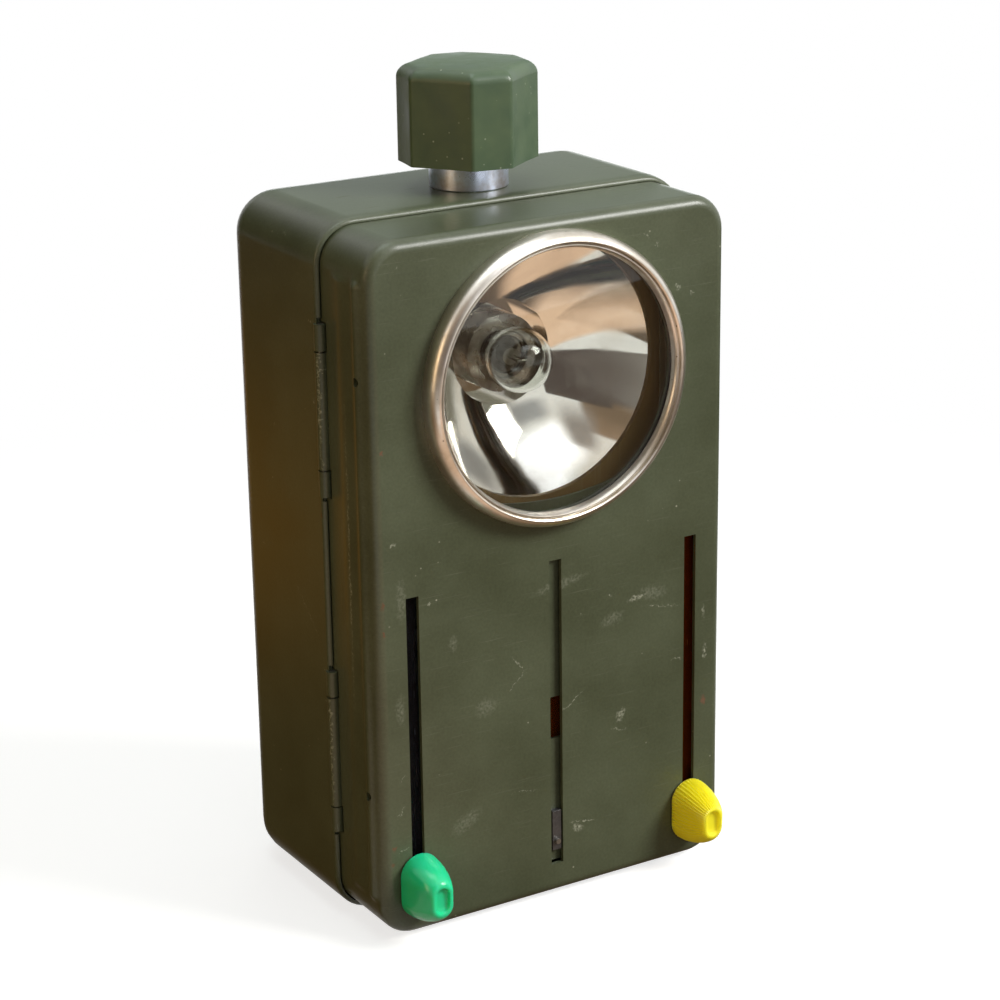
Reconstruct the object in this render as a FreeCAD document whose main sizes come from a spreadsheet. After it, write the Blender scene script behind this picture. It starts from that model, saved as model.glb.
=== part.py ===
import FreeCAD, Part
import math
import os
import re
import Sketcher

# Pocket signal lamp: a deep-drawn rear case, a front shell hinged on its left side that carries the lens,
# the reflector and three vertical slides, and a turn-and-push switch on top.
#
# Frame: origin at the middle of the flat base, +X to the lamp's right seen from the front, +Y to the back,
# +Z up. The lamp faces -Y. Millimetres.

SIZES = {
    # rear case and front shell
    "case_width": 74.0,
    "case_height": 127.0,
    "case_depth": 50.0,
    "gauge": 0.8,
    "corner_radius": 7.5,
    "back_radius": 7.0,
    "front_radius": 2.4,
    "shell_inset": 1.1,
    "seam_setback": 15.5,
    "skirt": 3.0,
    "gap": 0.3,
    "spare": 1.0,
    "keeper_setback": 10.8,
    "keeper_width": 1.3,
    "keeper_reach": 1.5,
    "keeper_margin": 2.0,
    # side hinge, two sets of three knuckles
    "hinge_inset": 0.6,
    "knuckle_radius": 1.1,
    "pin_radius": 0.5,
    "pin_clearance": 0.05,
    "lower_hinge": 16.9,
    "upper_hinge": 79.4,
    "case_knuckle": 4.6,
    "door_knuckle": 20.6,
    # lens and bezel
    "lens_height": 98.1,
    "bezel_radius": 25.9,
    "bezel_proud": 3.8,
    "bezel_seat": 1.9,
    "bezel_side": 1.6,
    "bezel_shoulder": 3.1,
    "shoulder_inset": 0.5,
    "crest_inset": 1.2,
    "crest_width": 0.4,
    "bezel_lip": 0.5,
    "lip_bevel": 0.14,
    "aperture_radius": 23.06,
    "glass_radius": 24.4,
    "hole_radius": 23.4,
    "glass_play": 0.1,
    "gasket": 0.5,
    "dome_rise": 1.2,
    # reflector and bulb, setbacks measured from the front face
    "plate_setback": 5.1,
    "mirror_height": 98.8,
    "rim_radius": 22.3,
    "flange_radius": 24.9,
    "bowl_depth": 12.6,
    "bowl_wall": 0.6,
    "cup_radius": 9.0,
    "cup_setback": 20.9,
    "holder_radius": 6.6,
    "holder_bore": 4.95,
    "holder_setback": 15.9,
    "holder_length": 10.8,
    "holder_flange": 0.8,
    "holder_flange_radius": 8.5,
    "bulb_radius": 5.5,
    "bulb_setback": 11.2,
    "glass_wall": 0.5,
    "neck_radius": 3.6,
    "bead_radius": 1.5,
    "bead_length": 2.4,
    "lead_radius": 0.15,
    "lead_spread": 0.65,
    "lead_length": 3.2,
    "filament_radius": 0.22,
    "filament_length": 1.8,
    "filament_lift": 0.6,
    "base_radius": 4.8,
    "base_setback": 16.8,
    "base_length": 10.1,
    "insulator_radius": 3.4,
    "insulator_depth": 0.8,
    "tip_radius": 1.4,
    "tip_length": 1.9,
    # plate behind the slides
    "plate_play": 0.2,
    "plate_bottom": 6.0,
    "plate_headroom": 2.3,
    "plate_corner": 5.7,
    "screw_radius": 0.6,
    "screw_length": 2.0,
    "screw_head_radius": 1.0,
    "screw_head": 0.7,
    "screw_low": 18.0,
    "screw_high": 112.0,
    # slides
    "slot_x": 28.75,
    "slot_width": 2.5,
    "slot_bottom": 6.9,
    "slot_length": 57.25,
    "middle_slot_length": 58.3,
    "stem_height": 10.6,
    "stem_width": 2.0,
    "stem_tall": 5.6,
    "filter_top": 73.6,
    "filter_bottom": 24.0,
    "filter_outer": 32.5,
    "filter_inner": 24.0,
    "filter_gauge": 0.8,
    "amber_setback": 2.6,
    "green_setback": 3.8,
    "tail_width": 7.5,
    "stem_reach": 4.0,
    "shutter_half": 23.5,
    "shutter_gauge": 0.6,
    "shutter_setback": 1.15,
    "shutter_dip": 76.5,
    "shutter_arc": 57.0,
    "window_bottom": 31.0,
    "window_tall": 8.0,
    "window_half": 8.0,
    "button_width": 7.8,
    "button_tall": 12.0,
    "button_reach": 8.0,
    "button_tip_width": 5.0,
    "button_tip_tall": 7.6,
    "button_edge": 0.8,
    "dimple_width": 2.7,
    "dimple_tall": 4.7,
    "dimple_depth": 0.8,
    "shutter_shoulder": 6.0,
    "shutter_lift": 0.3,
    "stub_bottom": 9.6,
    "stub_tall": 7.7,
    "stub_width": 1.8,
    "stub_sunk": 0.1,
    "stub_pin_height": 11.4,
    "stub_pin_radius": 0.5,
    "stub_pin_proud": 0.5,
    # guide rails inside the front shell
    "rail_width": 2.2,
    "rail_depth": 2.6,
    "rail_bottom": 8.0,
    "rail_top": 119.0,
    "shutter_foot": 1.6,
    "shutter_channel": 1.2,
    "shutter_lip": 1.2,
    "shutter_lip_gauge": 0.3,
    "rivet_depth": 1.0,
    "rivet_sunk": 0.4,
    "rail_axis_lift": 0.5,
    "rivet_radius": 0.8,
    "rivet_low": 28.1,
    "rivet_high": 102.5,
    # switch on top
    "switch_y": 2.2,
    "collar_radius": 7.0,
    "collar_height": 6.2,
    "bushing_radius": 5.4,
    "bushing_bore": 3.6,
    "thread_length": 7.5,
    "nut_radius": 8.0,
    "nut_height": 2.8,
    "sleeve_depth": 15.0,
    "flange_play": 0.1,
    "sleeve_flange": 0.8,
    "sleeve_flange_radius": 5.6,
    "cam_radius": 5.0,
    "cam_height": 2.0,
    "spring_wire": 0.35,
    "spring_coil": 4.6,
    "spring_turns": 3.0,
    "sleeve_radius": 3.5,
    "stem_hex": 2.0,
    "stem_depth": 17.5,
    "stem_length": 35.5,
    "hex_clearance": 0.1,
    "knob_lift": 4.7,
    "knob_height": 17.2,
    "knob_flat": 7.2,
    "knob_facet": 11.7,
    "knob_edge": 2.4,
    "knob_cavity": 8.2,
    "cavity_depth": 7.9,
    "knob_turned": -10.0,
    # flat 4.5 V battery and the terminal board
    "battery_width": 62.0,
    "battery_depth": 22.0,
    "battery_height": 65.0,
    "battery_back": 20.0,
    "battery_floor": 2.4,
    "battery_corner": 2.5,
    "terminal_width": 7.0,
    "terminal_rise": 2.6,
    "long_terminal_bend": 9.0,
    "long_terminal_top": 14.0,
    "short_terminal_bend": 6.5,
    "short_terminal_top": 10.0,
    "long_terminal_x": -23.5,
    "short_terminal_x": 12.5,
    "pad_width": 56.0,
    "pad_front": 1.0,
    "pad_depth": 16.0,
    "battery_spring_width": 30.0,
    "battery_spring_low": 16.0,
    "battery_spring_foot": 2.0,
    "battery_spring_run": 16.0,
    "battery_spring_touch": 6.0,
    "board_front": 16.5,
    "board_gauge": 1.5,
    "board_width": 60.0,
    "board_bottom": 70.0,
    "board_tall": 49.0,
    "post_x": 24.0,
    "post_height": 108.0,
    "post_shank_radius": 1.2,
    "post_head_radius": 2.2,
    "post_head": 0.9,
    "post_radius": 2.5,
    "strip_bottom": 72.0,
    "strip_width": 8.0,
    "strip_tall": 14.0,
    "long_strip_x": -24.0,
    "short_strip_x": 12.0,
    "leaf_width": 6.0,
    "leaf_foot": 14.0,
    "leaf_bend": 6.0,
    "leaf_touch": 2.0,
    "switch_leaf_top": 12.0,
    "switch_leaf_drop": 21.0,
    "switch_leaf_reach": 0.7,
    "strip_gauge": 0.4,
    # latch on the right side and belt clip on the back
    "latch_height": 58.5,
    "latch_tall": 11.0,
    "latch_y": 2.0,
    "latch_standoff": 2.0,
    "latch_reach": 17.0,
    "latch_strip": 0.8,
    "latch_barrel_radius": 1.0,
    "latch_lip": 0.7,
    "latch_lip_overhang": 0.3,
    "latch_lip_clearance": 0.5,
    "latch_ear": 1.2,
    "latch_ear_radius": 1.2,
    "latch_plate_half": 4.0,
    "clip_width": 18.0,
    "clip_gauge": 1.0,
    "clip_gap": 5.0,
    "clip_top": 112.0,
    "clip_bend": 97.0,
    "clip_shoulder": 91.0,
    "clip_knee": 52.0,
    "clip_toe": 43.0,
    "clip_toe_gap": 2.0,
    "clip_end": 37.0,
    "clip_end_gap": 3.6,
    "clip_rivet_low": 101.0,
    "clip_rivet_high": 108.0,
    "clip_rivet_radius": 1.5,
    "clip_rivet_head_radius": 2.6,
    "clip_rivet_head": 0.8,
    "clip_rivet_foot_radius": 2.2,
    "clip_rivet_foot": 0.7,
}

FRONT = "(-case_depth / 2)"
BACK = "(case_depth / 2)"
SEAM = "(-case_depth / 2 + seam_setback)"
SIDE = "(case_width / 2)"
SHELL_SIDE = "(case_width / 2 - shell_inset)"
SHELL_INNER = "(case_width / 2 - shell_inset - gauge)"
HINGE_X = "(hinge_inset - case_width / 2)"
PLATE_BACK = "(-case_depth / 2 + plate_setback + gauge)"

# two places or volumes that differ by less than this count as the same
CLOSE = 0.01

AXIS_TURNS = {
    "X": FreeCAD.Rotation(FreeCAD.Vector(0, 1, 0), 90),
    "Y": FreeCAD.Rotation(FreeCAD.Vector(1, 0, 0), -90),
    "Z": FreeCAD.Rotation(),
}

doc = FreeCAD.newDocument("signal_lamp")
sub_parts = []


# ---------------------------------------------------------------- document helpers

def fill_sheet():
    """Write every driving dimension into the spreadsheet under its alias."""
    sheet = doc.addObject("Spreadsheet::Sheet", "Sheet")
    for row, (alias, value) in enumerate(SIZES.items(), start=1):
        sheet.set(f"A{row}", alias)
        sheet.set(f"B{row}", str(value))
        sheet.setAlias(f"B{row}", alias)
    doc.recompute()
    return sheet


def formula(text):
    """Turn the aliases in a formula into references to the sheet."""
    def named(match):
        word = match.group()
        return f"Sheet.{word}" if word in SIZES else word
    return re.sub(r"[a-z][a-z_]*", named, str(text))


def size(text):
    """The value of a formula, read from the sheet."""
    def number(match):
        word = match.group()
        return repr(float(getattr(sheet, word))) if word in SIZES else word
    return FreeCAD.Units.Quantity(re.sub(r"[a-z][a-z_]*", number, str(text))).Value


def bind(thing, **formulas):
    """Bind properties to the sheet; a double underscore in a name stands for a dot."""
    for name, text in formulas.items():
        thing.setExpression(name.replace("__", "."), formula(text))


def place(thing, x, y, z):
    bind(thing, Placement__Base__x=x, Placement__Base__y=y, Placement__Base__z=z)


def box(label, corner, extent):
    """A block from its lowest corner and its three lengths."""
    block = doc.addObject("Part::Box", label)
    bind(block, Length=extent[0], Width=extent[1], Height=extent[2])
    place(block, *corner)
    return block


def cylinder(label, radius, length, start, axis="Z"):
    """A round bar that starts at a point and runs along +X, +Y or +Z."""
    bar = doc.addObject("Part::Cylinder", label)
    bar.Placement = FreeCAD.Placement(FreeCAD.Vector(), AXIS_TURNS[axis])
    bind(bar, Radius=radius, Height=length)
    place(bar, *start)
    return bar


def sphere(label, radius, centre):
    ball = doc.addObject("Part::Sphere", label)
    bind(ball, Radius=radius)
    place(ball, *centre)
    return ball


def hexagon(label, circumradius, length, start):
    prism = doc.addObject("Part::Prism", label)
    prism.Polygon = 6
    bind(prism, Circumradius=circumradius, Height=length)
    place(prism, *start)
    return prism


def fuse(label, *pieces):
    joined = doc.addObject("Part::MultiFuse", label)
    joined.Shapes = list(pieces)
    return joined


def cut(label, base, *tools):
    """Take the tools out of the base."""
    taken = doc.addObject("Part::Cut", label)
    taken.Base = base
    taken.Tool = tools[0] if len(tools) == 1 else fuse(f"{label}_tools", *tools)
    return taken


def common(label, first, second):
    shared = doc.addObject("Part::Common", label)
    shared.Base = first
    shared.Tool = second
    return shared


def tube(label, outer, inner, length, start, axis="Z"):
    wall = cylinder(f"{label}_outer", outer, length, start, axis)
    bore = cylinder(f"{label}_bore", inner, length, start, axis)
    return cut(label, wall, bore)


def keep(label, thing):
    """Name a finished sub-part and put it on the export list."""
    thing.Label = label
    sub_parts.append(thing)
    return thing


def solid_feature(label, shape):
    """A sub-part set straight from a shape, for forms that no feature or primitive makes."""
    feature = doc.addObject("Part::Feature", label)
    feature.Shape = shape
    return feature


# ---------------------------------------------------------------- sketch helpers

def origin_plane(body, role):
    return next(item for item in body.Origin.OriginFeatures if item.Role == role)


def sketch_on(body, role, name, offset="0"):
    """A sketch on one of the body's origin planes, moved along the plane's normal."""
    sketch = body.newObject("Sketcher::SketchObject", name)
    sketch.AttachmentSupport = [(origin_plane(body, role), "")]
    sketch.MapMode = "FlatFace"
    sketch.setExpression("AttachmentOffset.Base.z", formula(offset))
    return sketch


def outline(sketch, corners):
    """A closed polygon whose corners are pairs of formulas."""
    spots = [FreeCAD.Vector(size(across), size(up), 0) for across, up in corners]
    count = len(corners)
    for index in range(count):
        sketch.addGeometry(Part.LineSegment(spots[index], spots[(index + 1) % count]))
    for index in range(count):
        sketch.addConstraint(Sketcher.Constraint("Coincident", index, 2, (index + 1) % count, 1))
    for index, corner in enumerate(corners):
        for kind, text, value in zip(("DistanceX", "DistanceY"), corner, spots[index]):
            row = sketch.addConstraint(Sketcher.Constraint(kind, -1, 1, index, 1, value))
            sketch.setExpression(f"Constraints[{row}]", formula(text))
    return sketch


def stadium(sketch, width, tall):
    """An upright slot shape centred on the sketch's origin."""
    radius = size(width) / 2
    half = size(tall) / 2 - radius
    top = FreeCAD.Vector(0, half, 0)
    bottom = FreeCAD.Vector(0, -half, 0)
    side = FreeCAD.Vector(radius, 0, 0)
    normal = FreeCAD.Vector(0, 0, 1)
    sketch.addGeometry(Part.ArcOfCircle(Part.Circle(top, normal, radius), 0, math.pi))
    sketch.addGeometry(Part.LineSegment(top - side, bottom - side))
    sketch.addGeometry(Part.ArcOfCircle(Part.Circle(bottom, normal, radius), math.pi, 2 * math.pi))
    sketch.addGeometry(Part.LineSegment(bottom + side, top + side))
    for edge in range(4):
        sketch.addConstraint(Sketcher.Constraint("Coincident", edge, 2, (edge + 1) % 4, 1))
    for arc in (0, 2):
        for end in (1, 2):
            sketch.addConstraint(Sketcher.Constraint("Horizontal", arc, 3, arc, end))
    sketch.addConstraint(Sketcher.Constraint("PointOnObject", 0, 3, -2))
    sketch.addConstraint(Sketcher.Constraint("Symmetric", 0, 3, 2, 3, -1, 1))
    sketch.addConstraint(Sketcher.Constraint("Equal", 0, 2))
    row = sketch.addConstraint(Sketcher.Constraint("Radius", 0, radius))
    sketch.setExpression(f"Constraints[{row}]", formula(f"{width} / 2"))
    row = sketch.addConstraint(Sketcher.Constraint("DistanceY", 2, 3, 0, 3, 2 * half))
    sketch.setExpression(f"Constraints[{row}]", formula(f"{tall} - {width}"))
    return sketch


def pad(body, sketch, length, backwards=False):
    feature = body.newObject("PartDesign::Pad", f"{body.Name}_pad")
    feature.Profile = sketch
    feature.Reversed = backwards
    bind(feature, Length=length)
    doc.recompute()
    return feature


def pocket(body, sketch, length, backwards=False):
    """Cut a sketch into the body and make sure that it took something away."""
    before = body.Tip.Shape.Volume
    feature = body.newObject("PartDesign::Pocket", f"{body.Name}_pocket")
    feature.Profile = sketch
    feature.Reversed = backwards
    bind(feature, Length=length)
    doc.recompute()
    if feature.Shape.Volume > before - CLOSE:
        raise RuntimeError(f"{body.Name}: a pocket cut nothing")
    return feature


def fillet(body, base, radius, wanted):
    """Round the edges of the last feature that a test picks."""
    edges = [f"Edge{number}" for number, edge in enumerate(base.Shape.Edges, start=1) if wanted(edge)]
    feature = body.newObject("PartDesign::Fillet", f"{body.Name}_fillet")
    feature.Base = (base, edges)
    bind(feature, Radius=radius)
    doc.recompute()
    return feature


def drawn_pan(name, half_width, bottom, top, mouth, floor, corner, edge):
    """A pan drawn from sheet: open at y = mouth, closed at y = floor, with round corners and a round rim."""
    body = doc.addObject("PartDesign::Body", name)
    sketch = outline(
        sketch_on(body, "XZ_Plane", f"{name}_outline", f"-{mouth}"),
        [(f"-{half_width}", bottom), (half_width, bottom), (half_width, top), (f"-{half_width}", top)],
    )
    to_back = size(floor) > size(mouth)
    depth = f"{floor} - {mouth}" if to_back else f"{mouth} - {floor}"
    block = pad(body, sketch, depth, backwards=to_back)
    corners = fillet(body, block, corner, lambda item: item.BoundBox.YLength > CLOSE)
    level = size(floor)
    rim = fillet(body, corners, edge, lambda item: abs(item.BoundBox.Center.y - level) < CLOSE)
    mouth_faces = [
        f"Face{number}" for number, face in enumerate(rim.Shape.Faces, start=1)
        if abs(face.BoundBox.Center.y - size(mouth)) < CLOSE
    ]
    wall = body.newObject("PartDesign::Thickness", f"{name}_wall")
    wall.Base = (rim, mouth_faces)
    wall.Reversed = True
    bind(wall, Value="gauge")
    doc.recompute()
    return body


def band(label, route, gauge, width, start):
    """A strip bent in the YZ plane: its centre line, its thickness, and its width along X from a start."""
    spots = [FreeCAD.Vector(size(first), size(second), 0) for first, second in route]
    half = size(gauge) / 2
    normals = []
    for here, there in zip(spots, spots[1:]):
        along = (there - here).normalize()
        normals.append(FreeCAD.Vector(-along.y, along.x, 0))
    shifts = [normals[0]]
    for before, after in zip(normals, normals[1:]):
        middle = (before + after).normalize()
        shifts.append(middle * (1 / middle.dot(after)))
    shifts.append(normals[-1])
    one_side = [spot + shift * half for spot, shift in zip(spots, shifts)]
    other_side = [spot - shift * half for spot, shift in zip(spots, shifts)]
    ring = [FreeCAD.Vector(size(start), spot.x, spot.y) for spot in one_side + other_side[::-1]]
    face = Part.Face(Part.makePolygon(ring + ring[:1]))
    return solid_feature(label, face.extrude(FreeCAD.Vector(size(width), 0, 0)))


# ---------------------------------------------------------------- hinge

def hinge_rows():
    """The three knuckles of each hinge as (owner, bottom, length)."""
    for low in ("lower_hinge", "upper_hinge"):
        yield "case", low, "case_knuckle"
        yield "door", f"{low} + case_knuckle + gap", "door_knuckle"
        yield "case", f"{low} + case_knuckle + door_knuckle + 2 * gap", "case_knuckle"


def knuckles(owner):
    return [
        cylinder(f"{owner}_knuckle", "knuckle_radius", length, (HINGE_X, SEAM, bottom))
        for who, bottom, length in hinge_rows() if who == owner
    ]


def knuckle_clearances(other):
    """Round clearances in one shell for the other shell's knuckles."""
    return [
        cylinder(f"{other}_clearance", "knuckle_radius + gap", f"{length} + 2 * gap",
                 (HINGE_X, SEAM, f"{bottom} - gap"))
        for who, bottom, length in hinge_rows() if who == other
    ]


def pin_bores():
    return [
        cylinder("pin_bore", "pin_radius + pin_clearance", "2 * case_knuckle + door_knuckle + 2 * gap",
                 (HINGE_X, SEAM, low))
        for low in ("lower_hinge", "upper_hinge")
    ]


def hinge_pins():
    for name, low in (("hinge_pin_lower", "lower_hinge"), ("hinge_pin_upper", "upper_hinge")):
        keep(name, cylinder(name, "pin_radius", "2 * case_knuckle + door_knuckle + 2 * gap",
                            (HINGE_X, SEAM, low)))


# ---------------------------------------------------------------- the two shells

CLIP_RIVETS = ("clip_rivet_low", "clip_rivet_high")


def rear_case():
    pan = drawn_pan("case_pan", SIDE, "0", "case_height", SEAM, BACK, "corner_radius", "back_radius")
    body = fuse("case_with_knuckles", pan, *knuckles("case"))
    switch_hole = cylinder("switch_hole", "bushing_radius", "2 * gauge",
                           ("0", "switch_y", "case_height - 1.5 * gauge"))
    clip_holes = [
        cylinder("clip_hole", "clip_rivet_radius", "2 * gauge", ("0", f"{BACK} - 1.5 * gauge", height),
                 "Y")
        for height in CLIP_RIVETS
    ]
    keep("rear_case", cut("rear_case", body, switch_hole, *clip_holes, *pin_bores(),
                          *knuckle_clearances("door")))


def front_shell():
    pan = drawn_pan("shell_pan", SHELL_SIDE, "shell_inset", "case_height - shell_inset",
                    f"({SEAM} + skirt)", FRONT, "corner_radius - shell_inset", "front_radius")
    keeper = box("keeper_ridge",
                 (f"{SHELL_SIDE} - gauge / 2", f"{FRONT} + keeper_setback", "latch_height + keeper_margin"),
                 ("gauge / 2 + keeper_reach", "keeper_width", "latch_tall - 2 * keeper_margin"))
    body = fuse("shell_with_knuckles", pan, keeper, *knuckles("door"))
    lens_hole = cylinder("lens_hole", "hole_radius", "2 * gauge",
                         ("0", f"{FRONT} - gauge / 2", "lens_height"), "Y")
    slots = [
        box("slot", (f"{centre} - slot_width / 2", f"{FRONT} - gauge / 2", "slot_bottom"),
            ("slot_width", "2 * gauge", length))
        for centre, length in (("-slot_x", "slot_length"), ("0", "middle_slot_length"),
                               ("slot_x", "slot_length"))
    ]
    rivet_holes = [
        cylinder("rail_rivet_hole", "rivet_radius", "2 * gauge", (start, rail_middle(), height), "X")
        for start in (f"-{SHELL_SIDE} - gauge / 2", f"{SHELL_INNER} - gauge / 2")
        for height in ("rivet_low", "rivet_high")
    ]
    keep("front_shell", cut("front_shell", body, lens_hole, *slots, *rivet_holes, *pin_bores(),
                            *knuckle_clearances("case")))


# ---------------------------------------------------------------- lens group

def bezel_ring():
    """The turned ring that holds the glass: a bead outside and a cone down to the aperture."""
    body = doc.addObject("PartDesign::Body", "bezel_ring")
    sketch = sketch_on(body, "YZ_Plane", "bezel_section")
    sketch.setExpression("AttachmentOffset.Base.y", formula("lens_height"))
    section = [
        (FRONT, "bezel_radius"),
        (f"{FRONT} - bezel_side", "bezel_radius"),
        (f"{FRONT} - bezel_shoulder", "bezel_radius - shoulder_inset"),
        (f"{FRONT} - bezel_proud", "bezel_radius - crest_inset"),
        (f"{FRONT} - bezel_proud", "bezel_radius - crest_inset - crest_width"),
        (f"{FRONT} - bezel_seat - bezel_lip", "aperture_radius + lip_bevel"),
        (f"{FRONT} - bezel_seat", "aperture_radius"),
        (f"{FRONT} - bezel_seat", "glass_radius + glass_play"),
        (FRONT, "glass_radius + glass_play"),
    ]
    outline(sketch, section)
    turned = body.newObject("PartDesign::Revolution", "bezel_turned")
    turned.Profile = sketch
    turned.ReferenceAxis = (sketch, ["H_Axis"])
    turned.Angle = 360
    doc.recompute()
    keep("bezel_ring", body)


def lens_glass():
    """A flat-backed glass with a slightly domed front."""
    dome = "((aperture_radius * aperture_radius + dome_rise * dome_rise) / (2 * dome_rise))"
    disc = cylinder("glass_disc", "glass_radius", "bezel_seat + dome_rise - gasket + spare",
                    ("0", f"{FRONT} - bezel_seat - dome_rise - spare", "lens_height"), "Y")
    ball = sphere("glass_dome", dome,
                  ("0", f"{FRONT} - bezel_seat - dome_rise + {dome}", "lens_height"))
    keep("lens_glass", common("lens_glass", disc, ball))


def lens_gasket():
    keep("lens_gasket", tube("lens_gasket", "glass_radius", "hole_radius", "gasket",
                             ("0", f"{FRONT} - gasket", "lens_height"), "Y"))


def reflector():
    """A parabolic bowl with a flat flange at its rim and a cup for the bulb holder at its apex."""
    front = size(PLATE_BACK)
    apex = front + size("bowl_depth")
    rim = size("rim_radius")
    cup = size("cup_radius")
    wall = size("bowl_wall")
    floor = size(f"{FRONT} + cup_setback")
    height = size("mirror_height")
    steps = 8

    def spot(radius, setback):
        return FreeCAD.Vector(0, setback, height + radius)

    def parabola(inner, outer, shift):
        """The bowl's meridian, y = apex - depth * (r / rim)^2, as a smooth curve."""
        spots = []
        for step in range(steps + 1):
            radius = outer + (inner - outer) * step / steps
            setback = apex - size("bowl_depth") * (radius / rim) ** 2
            spots.append(spot(radius, setback + shift))
        curve = Part.BSplineCurve()
        curve.interpolate(spots)
        return curve.toShape(), spots[0], spots[-1]

    inside, inside_rim, inside_neck = parabola(cup, rim, 0)
    outside, outside_rim, outside_neck = parabola(cup + wall, rim, wall)
    flange = size("flange_radius")
    hole = size("holder_radius + pin_clearance")
    run_in = [inside_neck, spot(cup, floor), spot(hole, floor), spot(hole, floor + wall),
              spot(cup + wall, floor + wall), outside_neck]
    run_out = [outside_rim, spot(flange, front + wall), spot(flange, front), inside_rim]
    edges = [inside] + Part.makePolygon(run_in).Edges + [outside] + Part.makePolygon(run_out).Edges
    face = Part.Face(Part.Wire(Part.__sortEdges__(edges)))
    bowl = face.revolve(FreeCAD.Vector(0, 0, height), FreeCAD.Vector(0, 1, 0), 360)
    keep("reflector", solid_feature("reflector", bowl))


def bulb_group():
    centre = ("0", f"{FRONT} + bulb_setback", "mirror_height")
    holder_front = f"({FRONT} + holder_setback)"
    sleeve = cylinder("holder_sleeve", "holder_radius", "holder_length",
                      ("0", holder_front, "mirror_height"), "Y")
    collar = cylinder("holder_collar", "holder_flange_radius", "holder_flange",
                      ("0", f"{FRONT} + cup_setback + bowl_wall", "mirror_height"), "Y")
    bore = cylinder("holder_bore", "holder_bore", "holder_length",
                    ("0", holder_front, "mirror_height"), "Y")
    keep("bulb_holder", cut("bulb_holder", fuse("holder_blank", sleeve, collar), bore))

    base_front = f"({FRONT} + base_setback)"
    base_back = f"({FRONT} + base_setback + base_length)"
    keep("bulb_base", cylinder("bulb_base", "base_radius", "base_length",
                               ("0", base_front, "mirror_height"), "Y"))
    ring = cylinder("tip_insulator", "insulator_radius", "insulator_depth",
                    ("0", base_back, "mirror_height"), "Y")
    button = cylinder("tip_button", "tip_radius", "tip_length", ("0", base_back, "mirror_height"), "Y")
    keep("bulb_tip", fuse("bulb_tip", ring, button))

    outer = fuse("globe_outer", sphere("globe", "bulb_radius", centre),
                 cylinder("globe_neck", "neck_radius", "base_setback - bulb_setback", centre, "Y"))
    inner = fuse("globe_inner", sphere("globe_hollow", "bulb_radius - glass_wall", centre),
                 cylinder("neck_hollow", "neck_radius - glass_wall",
                          "base_setback - bulb_setback - glass_wall", centre, "Y"))
    keep("bulb_glass", cut("bulb_glass", outer, inner))

    filament_y = f"({FRONT} + bulb_setback - filament_lift)"
    bead = cylinder("filament_bead", "bead_radius", "bead_length",
                    ("0", f"{FRONT} + bulb_setback + bead_length", "mirror_height"), "Y")
    leads = [
        cylinder("filament_lead", "lead_radius", "lead_length",
                 (f"{sign}lead_spread", filament_y, "mirror_height"), "Y")
        for sign in ("-", "")
    ]
    coil = cylinder("filament_coil", "filament_radius", "filament_length",
                    ("-filament_length / 2", filament_y, "mirror_height"), "X")
    keep("filament", fuse("filament", bead, coil, *leads))


def reflector_plate():
    """The plate behind the slides that carries the reflector."""
    body = doc.addObject("PartDesign::Body", "plate_body")
    half = f"({SHELL_INNER} - plate_play)"
    top = "case_height - plate_headroom"
    sketch = outline(
        sketch_on(body, "XZ_Plane", "plate_outline", f"-{PLATE_BACK}"),
        [(f"-{half}", "plate_bottom"), (half, "plate_bottom"), (half, top), (f"-{half}", top)],
    )
    blank = pad(body, sketch, "gauge")
    fillet(body, blank, "plate_corner", lambda edge: edge.BoundBox.YLength > size("gauge") / 2)
    opening = cylinder("plate_opening", "rim_radius + plate_play", "3 * gauge",
                       ("0", f"{PLATE_BACK} - 2 * gauge", "mirror_height"), "Y")
    holes = [
        cylinder("plate_hole", "screw_radius", "3 * gauge",
                 (across, f"{PLATE_BACK} - 2 * gauge", height), "Y")
        for across, height in plate_screw_spots()
    ]
    keep("reflector_plate", cut("reflector_plate", body, opening, *holes))


def plate_screw_spots():
    middle = f"({SHELL_INNER} - rail_width / 2)"
    return [(f"{sign}{middle}", height) for height in ("screw_low", "screw_high") for sign in ("-", "")]


def plate_screws():
    names = ("lower_left", "lower_right", "upper_left", "upper_right")
    for name, (across, height) in zip(names, plate_screw_spots()):
        shank = cylinder("screw_shank", "screw_radius", "gauge + screw_length",
                         (across, f"{PLATE_BACK} - gauge - screw_length", height), "Y")
        head = cylinder("screw_head", "screw_head_radius", "screw_head", (across, PLATE_BACK, height), "Y")
        keep(f"plate_screw_{name}", fuse(f"plate_screw_{name}", shank, head))


# ---------------------------------------------------------------- guide rails and slides

def rail_middle():
    return f"({FRONT} + plate_setback - rail_depth / 2 - rail_axis_lift)"


def filter_rails():
    """Square bars along both side walls that guide the colour filters and carry the plate."""
    for name, sign in (("left", "-"), ("right", "")):
        inner_edge = f"-{SHELL_INNER}" if name == "left" else f"{SHELL_INNER} - rail_width"
        bar = box("rail_bar", (inner_edge, f"{FRONT} + plate_setback - rail_depth", "rail_bottom"),
                  ("rail_width", "rail_depth", "rail_top - rail_bottom"))
        side_start = f"-{SHELL_INNER}" if name == "left" else f"{SHELL_INNER} - rivet_depth"
        side_holes = [
            cylinder("rail_side_hole", "rivet_radius", "rivet_depth",
                     (side_start, rail_middle(), height), "X")
            for height in ("rivet_low", "rivet_high")
        ]
        screw_holes = [
            cylinder("rail_screw_hole", "screw_radius", "screw_length",
                     (f"{sign}({SHELL_INNER} - rail_width / 2)", f"{PLATE_BACK} - gauge - screw_length",
                      height), "Y")
            for height in ("screw_low", "screw_high")
        ]
        keep(f"filter_rail_{name}", cut(f"filter_rail_{name}", bar, *side_holes, *screw_holes))


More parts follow.
